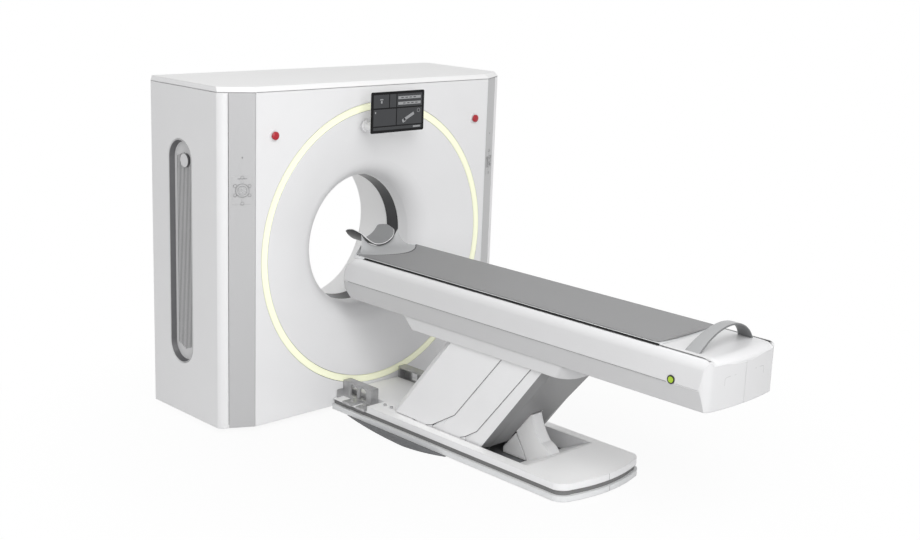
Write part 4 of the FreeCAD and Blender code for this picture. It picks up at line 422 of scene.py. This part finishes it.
def make_holder():
    """A cup with a grey pad in a dark shell; its ends rise to rounded tips."""
    half_turn, radii = 65.6, (135.0, 140.0, 145.0)
    front, flared_front, back, tip = -312, -288, -146, -214
    flare_start, flare_height = 950, 38
    tip_start, tip_height = 984, 21.5
    arc_steps, depth_steps = 56, 18
    pad, shell, rim = range(3)

    def reach(z):
        """The front and back of the cup at a height."""
        flare = max(0.0, min(z, tip_start) - flare_start) / flare_height
        drawn_in = min(1.0, max(0.0, z - tip_start) / tip_height)
        return (blend_to(blend_to(front, flared_front, flare ** 1.3), tip, drawn_in ** 1.7),
                blend_to(back, tip, drawn_in ** 2.2))

    layers = [[], [], []]
    for i in range(arc_steps + 1):
        share = math.sin(blend_to(-1, 1, i / arc_steps) * math.pi / 2)
        angle = math.radians(half_turn * share)
        ends = reach(CUP_AXIS - radii[-1] * math.cos(angle))
        for layer, radius in zip(layers, radii):
            for j in range(depth_steps + 1):
                y = blend_to(*ends, 0.5 - 0.5 * math.cos(math.pi * j / depth_steps))
                layer.append((radius * math.sin(angle), y, CUP_AXIS - radius * math.cos(angle)))

    size, line = len(layers[0]), depth_steps + 1
    faces, index = [], []

    def add(finish, *corners):
        faces.append(corners)
        index.append(finish)

    def add_walls(start, step):
        """The faces that close the pad and the shell at an edge."""
        for low, finish in ((start, rim), (start + size, shell)):
            add(finish, low, low + step, low + size + step, low + size)

    for i in range(arc_steps):
        for j in range(depth_steps):
            inner = i * line + j
            outer = 2 * size + inner
            add(pad, inner, inner + line, inner + line + 1, inner + 1)
            add(shell, outer, outer + 1, outer + line + 1, outer + line)
        for j in (0, depth_steps):
            add_walls(i * line + j, line)
    for i in (0, arc_steps):
        for j in range(depth_steps):
            add_walls(i * line + j, 1)
    piece("head_cup", "tabletop", (sum(layers, []), faces),
          [MATERIALS["holder_grey"], CARBON, MATERIALS["white_shell"]],
          ("head_holder",), angle=50, index=index)


def make_neck():
    """A curved skin that flows out from the cup to the mat in a thin tongue."""
    cup_radius, cup_turn, cup_end = 149, 64, -298
    tongue_half, tongue_height, tongue_rise = 219, 905, 7.5
    cup_thick, tongue_thick, thinner_at_sides, flared_share = 8, 3, 0.6, 4 / 137
    steps, columns = 12, 36
    rows = []
    for step in range(steps + 1):
        t = step / steps
        upper, lower = [], []
        for j in range(columns + 1):
            share = blend_to(-1, 1, j / columns)
            angle = math.radians(cup_turn * share)
            start = Vector((cup_radius * math.sin(angle), cup_end,
                            CUP_AXIS - cup_radius * math.cos(angle)))
            x = tongue_half * share
            end = Vector((x, tongue_end(x), tongue_height + tongue_rise * (1 - share ** 2)))
            spread = blend_to(t, t ** 1.5, abs(share))
            spot = Vector((blend_to(start.x, end.x, spread), blend_to(start.y, end.y, t),
                           blend_to(end.z, start.z, (1 - t) ** 2.6)))
            thick = blend_to(cup_thick, tongue_thick, t)
            thick *= 1 - thinner_at_sides * abs(share) * (1 - t)
            upper.append(tuple(spot))
            lower.append((spot.x * (1 + flared_share * (1 - t)), spot.y, spot.z - thick))
        rows.append(upper + lower[::-1])
    points, faces = skin(rows, caps=False)
    for first in (0, steps * len(rows[0])):
        last = first + len(rows[0]) - 1
        faces += [(first + j, first + j + 1, last - j - 1, last - j) for j in range(columns)]
    piece("neck_saddle", "tabletop", (points, faces), [MATERIALS["neck_light"]],
          rounds=1, angle=60)


def make_foot_cover():
    """The white end cover behind the mat, which rolls over the foot end."""
    half, thick = 226.0, 5
    top_start, top_height, top_steps, top_step = -2480, 899.6, 11, 18
    roll_y, roll_z, roll_reach, roll_drop, roll_steps = -2707, 866, 57.8, 33.6, 12
    turn_start, turn_length, turned_in, bow, sag = -2690, 75, 26, 12, 3.0
    columns, edge_share, edge_drop = 40, 0.94, 3.0

    profile = [(-2458, 896.5), (-2459, 898.6), (-2462, 899.4)]
    profile += [(top_start - top_step * i, top_height) for i in range(top_steps)]
    for i in range(1, roll_steps + 1):
        angle = math.radians(90 * i / roll_steps)
        profile.append((roll_y - roll_reach * math.sin(angle),
                        roll_z + roll_drop * math.cos(angle)))
    rows = []
    for j in range(columns + 1):
        share = blend_to(-1, 1, j / columns)
        rolled = edge_drop * max(0.0, (abs(share) - edge_share) / (1 - edge_share)) ** 2
        line = []
        for y, z in profile:
            turned = max(0.0, (turn_start - y) / turn_length)
            line.append(((half - turned_in * turned ** 1.5) * share,
                         y + bow * share ** 2 * turned,
                         z - rolled - sag * share ** 2 * turned))
        rows.append(line + [(x, y, z - thick) for x, y, z in line[::-1]])
    piece("foot_cover_shell", "tabletop", skin(rows), [FOOT_WHITE],
          ("foot_cover",), angle=50)


def make_handle():
    """A flat strap that arches over the foot cover and leans to the foot end."""
    top, low, half, landing = 1005.0, 899.0, 206.0, 899.2
    front, back, front_at_top, back_at_top = -2573, -2655, -2612, -2674
    half_thick, steps, ring_points = 5, 48, 16
    lower_points = range(6, 14)
    radius = (half ** 2 + (top - low) ** 2) / (2 * (top - low))
    half_angle = math.asin(half / radius)
    rows = []
    for j in range(steps + 1):
        angle = blend_to(-half_angle, half_angle, j / steps)
        x, z = radius * math.sin(angle), top - radius + radius * math.cos(angle)
        out = Vector((math.sin(angle), 0, math.cos(angle)))
        share = (z - low) / (top - low)
        near, far = blend_to(front, front_at_top, share), blend_to(back, back_at_top, share)
        middle, width = (near + far) / 2, (near - far) / 2
        ring = []
        for k in range(ring_points):
            turn = 2 * math.pi * k / ring_points
            y = middle + width * signed_power(math.cos(turn), 0.35)
            level = half_thick * (signed_power(math.sin(turn), 0.6) - 1)
            spot = Vector((x, y, z)) + out * level
            ring.append((spot.x, spot.y, max(spot.z, landing)))
        rows.append(ring)
    points, faces = skin(rows)
    edge_and_below = [int(k in lower_points) for k in range(ring_points)]
    end_caps = [1, 1]
    piece("handle_strap", "tabletop", (points, faces), [MATERIALS["handle_grey"], HANDLE_EDGE],
          ("handle",), angle=60, index=edge_and_below * steps + end_caps)


# ---- seams, seals and trim of the table -------------------------------------------------------

def make_slot_trim():
    """The black seals in the housing's slots, and the black line on the cradle's sides."""
    seal_x, trim_x = 236.6, 229.2
    seals = [slim([(side * seal_x, SLOT_HEAD, 895.6), (side * seal_x, -1042, 896),
                   (side * seal_x, SLOT_FOOT, 896)],
                  UPWARD, width=14.4, proud=0.6, sunk=3) for side in SIDES]
    piece("slot_seals", "carriage", joined(seals), [BLACK])
    trims = [slim([(side * trim_x, SLOT_HEAD, 897.2), (side * trim_x, SLOT_FOOT, 897.2)],
                  (side, 0, 0), width=9.6, proud=0.5, sunk=1) for side in SIDES]
    piece("cradle_side_trim", "tabletop", joined(trims), [BLACK])


def make_slot_lands():
    """The white lands that close the slots beside the foot cover and at the head end."""
    roll_y, roll_z, roll_radius, roll_steps = -2708.5, 838, 55, 8
    face_bulge, face_reach, face_inset = 15, 49.4, 8.5
    top, thick, columns = 894, 4, (196, 202, 208, 214, 220, 224, 229)
    head_inner, head_outer, head_bottom = 228, 245, 892
    head_rows = ((-362, 895), (SLOT_HEAD - 1, 895.6))
    lands = []
    for side in SIDES:
        rows = []
        for x in columns:
            reach = face_reach
            if x < HOUSING_BULGE_HALF:
                reach += face_bulge * crown(x, HOUSING_BULGE_HALF)
            else:
                reach -= 0.5 * (x - HOUSING_BULGE_HALF)
            last = math.asin((reach - face_inset) / roll_radius)
            line = [(side * x, -2456, top), (side * x, -2706, top)]
            for k in range(roll_steps + 1):
                angle = last * k / roll_steps
                line.append((side * x, roll_y - roll_radius * math.sin(angle),
                             roll_z + roll_radius * math.cos(angle)))
            line.append((side * x, -2700.1 - reach, 861))
            under = [(x0, y + 1, z - thick) for x0, y, z in line[::-1]]
            rows.append(line + under)
        lands.append(skin(rows))
        inner, outer = side * head_inner, side * head_outer
        lands.append(skin([[(inner, y, z), (outer, y, z),
                            (outer, y, head_bottom), (inner, y, head_bottom)]
                           for y, z in head_rows]))
    piece("slot_lands", "carriage", joined(lands), [FOOT_WHITE])


def make_housing_seams():
    """The crease along each side, its short latch line, and the groove beside the foot cover."""
    groove = [(228.5, -2458, 896.9), (228.5, -2600, 896.9), (228.5, -2685, 896.4),
              (228, -2710, 892.5), (227.5, -2726, 886)]
    up_and_back = (0, -0.2, 1)
    seams = []
    for side in SIDES:
        outward = (side, 0, 0)
        seams.append(slim([(side * 272.2, -352, 757), (side * 272.2, -2534, 757)],
                          outward, width=2.4, proud=0.2, sunk=1.5))
        seams.append(slim([(side * 271.4, -2592, 764), (side * 270.6, -2624, 764)],
                          outward, width=1.6, proud=0.3, sunk=1))
        seams.append(slim([(side * x, y, z) for x, y, z in groove], up_and_back,
                          width=4.2, proud=0.5, sunk=2))
    piece("housing_seams", "carriage", joined(seams), [SOFT_SEAM])


def make_latch_lines():
    """The fine lines on the foot end: a middle seam below and a latch's outline above it."""
    middle_y, edge_y, bulge = -2764.4, -2749.9, 14.6
    half_outline = [(142, 806), (148, 803), (150, 798), (150, 770)]
    outline = [(-x, z) for x, z in half_outline[::-1]]
    outline += [(20 * k, 808) for k in range(-6, 7)] + half_outline
    latch = [(x, edge_y - bulge * crown(x, HOUSING_BULGE_HALF), z) for x, z in outline]
    lines = [slim([(0, middle_y, 664), (0, middle_y, 800)], TO_FOOT_END,
                  width=2.2, proud=0.3, sunk=1),
             slim(latch, TO_FOOT_END, width=1.8, proud=0.35, sunk=1)]
    piece("end_latch_lines", "carriage", joined(lines), [FAINT_SEAM])


# ---- seams and trim of the lift and the base --------------------------------------------------

def link_place(pivot, ahead, along):
    """Where a point of an upright link stands once the link leans."""
    c, s = math.cos(LEAN), math.sin(LEAN)
    return -pivot + ahead * c - along * s, LOWER_PIVOT_HEIGHT + ahead * s + along * c


def make_cover_joints():
    """Painted shadows along the joints between the nested link covers, set back a little from
    their edges.
    """
    inset = 1.8
    for name, body, pivot, half, run in (
            ("front_cover_joint_shadow", "front_lift_link", 930, 242.0,
             [(-112, 800), (-112, 286), (-47, 101), (-20, 62)]),
            ("middle_cover_joint_shadow", "middle_lift_link", 1180, 238.0,
             [(-71, 768), (-71, 196), (-41, 104), (-22, 70)])):
        path = [link_place(pivot, ahead + inset, along) for ahead, along in run]
        joints = [slim([(side * half, y, z) for y, z in path], (side, 0, 0),
                       width=3.4, proud=0.25, sunk=2) for side in SIDES]
        piece(name, body, joined(joints), [GAP_SHADOW])


def make_cover_feet():
    """The feet of the middle and rear covers, which close them down to the deck."""
    for name, body, inner, outer, outline in (
            ("middle_cover_foot", "middle_lift_link", 234.8, 237.4,
             [(-1185, 215), (-1030, 104), (-1012, 82), (-1262, 82), (-1262, 215)]),
            ("rear_cover_foot", "rear_lift_link", 230.6, 233.4,
             [(-1330, 190), (-1262, 108), (-1300, 82), (-1390, 82)])):
        feet = [skin([[(side * x, y, z) for y, z in outline] for x in (inner, outer)])
                for side in SIDES]
        piece(name, body, joined(feet), [MATERIALS["link_cover_white"]])


def make_base_joints():
    """The middle joint on the base's foot end, above and below its groove."""
    joints = [slim([(0, y, low), (0, y, high)], TO_FOOT_END, width=2.0, proud=0.3, sunk=1)
              for y, low, high in ((-2047.2, 64, 97), (-2053.2, 8, 35.5))]
    piece("base_end_joints", "gantry_and_base", joined(joints), [SOFT_SEAM])


# ---- the gantry's display and keypads ---------------------------------------------------------

def make_display():
    """The display's picture: plain panes and bars, two tilted plates and a ring."""
    left, right, top, bottom, glass = -176.0, 176.0, 1784.0, 1592.0, -425.0
    pane_proud, mark_proud, label_proud = 0.5, 0.9, 1.2
    tilted, tilted_up = (0.9, 0, 0.42), (-0.42, 0, 0.9)

    def spot(u, v):
        """A point of the glass from shares of its width and height, from its upper left."""
        return blend_to(left, right, u), glass, blend_to(top, bottom, v)

    def pane(u0, u1, v0, v1, proud, corner=2.0):
        (x0, _, z0), (x1, _, z1) = spot(u0, v0), spot(u1, v1)
        return plate(((x0 + x1) / 2, glass, (z0 + z1) / 2), ALONG_X, UPWARD,
                     abs(x1 - x0) / 2, abs(z1 - z0) / 2, proud, corner)

    panes = [pane(*box, pane_proud) for box in (
        (0.0, 0.31, 0.0, 0.37), (0.33, 0.46, 0.0, 0.37), (0.48, 1.0, 0.0, 0.37),
        (0.0, 0.46, 0.41, 0.88), (0.48, 1.0, 0.41, 0.88), (0.0, 1.0, 0.915, 1.0))]
    marks = [pane(*box, mark_proud, corner=1.0) for box in (
        (0.50, 0.97, 0.07, 0.15), (0.50, 0.97, 0.23, 0.31), (0.82, 0.97, 0.935, 0.98),
        (0.03, 0.05, 0.47, 0.52), (0.13, 0.19, 0.12, 0.15), (0.145, 0.175, 0.17, 0.24))]
    for v, start in ((0.11, 0.56), (0.27, 0.60)):
        for number in range(4):
            u = start + 0.085 * number
            panes.append(pane(u, u + 0.05, v - 0.012, v + 0.012, label_proud, corner=0.5))
    x, _, z = spot(0.73, 0.66)
    marks.append(plate((x, glass, z), tilted, tilted_up,
                       half_across=40, half_up=8, proud=mark_proud))
    marks.append(plate((x - 36, glass, z - 20), tilted, tilted_up,
                       half_across=12, half_up=10, proud=mark_proud))
    marks.append(hoop(spot(0.93, 0.5), ALONG_X, UPWARD,
                      radius=10, thick=2, proud=mark_proud, sides=40))
    piece("screen_panes", "gantry_and_base", joined(panes), [SCREEN_PANE])
    piece("screen_marks", "gantry_and_base", joined(marks), [SCREEN_LIGHT])


def make_keypads():
    """On each slanted strip: a dial of rings and dots, a bar above it and a mark higher up."""
    strip_x, strip_y, run_x, run_y = 904.15, -250.2, 174, 92
    dial_height, mark_height = 1313, 1484
    bar_height, bar_half, mark_half = dial_height + 62, 24, 6
    on_pad, bar_lift, on_strip = 3.4, 3.2, 0.2
    dot_ring, key_across, key_up, key_above = 15, 43, 49.3, 68.15
    outlines, dots = [], []
    for side in SIDES:
        across = Vector((side * run_x, run_y, 0)).normalized() * side
        up = Vector(UPWARD)
        out = across.cross(up)
        middle = Vector((side * strip_x, strip_y, 0))

        def at(u, z, lift=on_pad):
            """A point over the strip, u across from its middle line and z above the floor."""
            return tuple(middle + across * u + up * z + out * lift)

        def add_outline(u, v, radius, thick, sides):
            centre = at(u, dial_height + v)
            outlines.append(hoop(centre, across, up, radius, thick, proud=0.5, sides=sides))

        def add_dot(u, v, radius):
            centre = at(u, dial_height + v)
            dots.append(hoop(centre, across, up, radius, thick=1.4, proud=0.8, sides=16))

        for radius in (35.5, 24.0):
            add_outline(0, 0, radius, thick=1.6, sides=40)
        for k in range(5):
            turn = math.radians(72 * k + 90)
            add_dot(dot_ring * math.cos(turn), dot_ring * math.sin(turn), radius=4.2)
        add_dot(0, 0, radius=4.6)
        for k in range(6):
            turn = math.radians(60 * k)
            on_middle_line = k % 3 == 0
            u = 0 if on_middle_line else key_across * math.sin(turn)
            v = (key_above if on_middle_line else key_up) * math.cos(turn)
            add_outline(u, v, radius=8.2, thick=1.3, sides=20)
        bar = [at(u, bar_height, bar_lift) for u in (-bar_half, bar_half)]
        outlines.append(slim(bar, out, width=2.2, proud=0.8, sunk=0.5))
        line = [at(0, mark_height + v, on_strip) for v in (-mark_half, mark_half)]
        outlines.append(slim(line, out, width=2.4, proud=0.6, sunk=0.5))
        outlines.append(plate(at(0, mark_height, on_strip), across, up,
                              half_across=3.6, half_up=3.0, proud=0.6, corner=1.0))
    piece("keypad_outlines", "gantry_and_base", joined(outlines), [SOFT_SEAM])
    piece("keypad_dots", "gantry_and_base", joined(dots), [MATERIALS["white_shell"]])


# ---- stage, lamps and camera, in metres -------------------------------------------------------

STAGE_MIDDLE = (0.0, -0.9, 0.0)


def seen_plainly(t):
    """1 for what the camera, a reflection or a clear piece sees, and 0 for light on surfaces."""
    rays = t.add("LightPath")
    seen = rays.outputs["Is Camera Ray"]
    for kind in ("Is Glossy Ray", "Is Transmission Ray"):
        seen = t.add("Math", {0: seen, 1: rays.outputs[kind]}, operation="MAXIMUM").outputs[0]
    return seen


def make_floor():
    """A wide floor that takes a soft shadow and fades to plain white away from the scanner."""
    half = 40.0
    mesh = bpy.data.meshes.new("floor")
    corners = [(-half, -half, 0), (half, -half, 0), (half, half, 0), (-half, half, 0)]
    mesh.from_pydata(corners, [], [(0, 1, 2, 3)])
    floor = bpy.data.objects.new("floor", mesh)
    bpy.context.scene.collection.objects.link(floor)

    material = bpy.data.materials.new("floor_finish")
    t = Tree(material, "OutputMaterial")
    diffuse = t.add("BsdfDiffuse", {"Color": (0.86, 0.86, 0.86, 1)})
    place = t.add("TexCoord").outputs["Object"]
    away = t.add("VectorMath", {0: place, 1: STAGE_MIDDLE}, operation="DISTANCE")
    fade = t.add("MapRange", {"Value": away.outputs["Value"], "From Min": 0.3, "From Max": 2.6,
                              "To Min": 0.9, "To Max": 1.0}, interpolation_type="SMOOTHSTEP")
    amount = t.add("Math", {0: seen_plainly(t), 1: fade.outputs[0]}, operation="MULTIPLY")
    white = t.add("Emission")
    t.show(t.add("MixShader", {0: amount.outputs[0], 1: diffuse.outputs[0],
                               2: white.outputs[0]}))
    mesh.materials.append(material)


def make_world():
    """Soft light, stronger at the horizon than overhead, behind a plain white backdrop."""
    white = (1, 1, 1, 1)
    world = bpy.data.worlds.new("studio")
    bpy.context.scene.world = world
    t = Tree(world, "OutputWorld")
    place = t.add("TexCoord").outputs["Generated"]
    height = t.add("SeparateXYZ", {0: place}).outputs["Z"]
    overhead = t.add("MapRange", {"Value": height, "To Min": 0.72, "To Max": 0.46})
    soft = t.add("Background", {"Color": white, "Strength": overhead.outputs[0]})
    plain = t.add("Background", {"Color": white})
    t.show(t.add("MixShader", {0: seen_plainly(t), 1: soft.outputs[0], 2: plain.outputs[0]}))


def make_lamps():
    """A wide soft lamp, high in front and to the left, and a weak fill near the floor."""
    for name, watts, size, place, target in (
            ("key", 126.0, 3.0, (-2.4, -4.6, 4.5), (0.0, -0.9, 0.8)),
            ("fill", 46.0, 2.4, (-2.4, -6.2, 1.9), (0.0, -1.8, 0.2))):
        lamp = bpy.data.lights.new(name, "AREA")
        lamp.energy = watts
        lamp.size = size
        thing = bpy.data.objects.new(name, lamp)
        thing.location = Vector(place)
        away = Vector(place) - Vector(target)
        thing.rotation_euler = away.to_track_quat("Z", "Y").to_euler()
        bpy.context.scene.collection.objects.link(thing)


def make_camera():
    """The camera that was fitted to the photo; its angles are in radians."""
    place = Vector((-4.9056, -5.8787, 2.5985))
    yaw, pitch, roll = 0.7832663, 0.2391061, 0.0393770
    focal_pixels, photo_width, sensor_width = 1344.74, 920, 36.0
    ahead = Vector((math.sin(yaw) * math.cos(pitch), math.cos(yaw) * math.cos(pitch),
                    -math.sin(pitch)))
    right = Vector((math.cos(yaw), -math.sin(yaw), 0))
    up = right.cross(ahead)
    turned_right = math.cos(roll) * right + math.sin(roll) * up
    turned_up = -math.sin(roll) * right + math.cos(roll) * up
    camera = bpy.data.cameras.new("camera")
    camera.sensor_width = sensor_width
    camera.lens = focal_pixels / photo_width * sensor_width
    thing = bpy.data.objects.new("camera", camera)
    basis = Matrix((turned_right, turned_up, -ahead)).transposed().to_4x4()
    thing.matrix_world = Matrix.Translation(place) @ basis
    bpy.context.scene.collection.objects.link(thing)
    bpy.context.scene.camera = thing


make_mat()
make_mat_shadow()
make_holder()
make_neck()
make_foot_cover()
make_handle()
make_slot_trim()
make_slot_lands()
make_housing_seams()
make_latch_lines()
make_cover_joints()
make_cover_feet()
make_base_joints()
make_display()
make_keypads()
make_floor()
make_world()
make_lamps()
make_camera()
bpy.context.scene.view_settings.view_transform = "Standard"
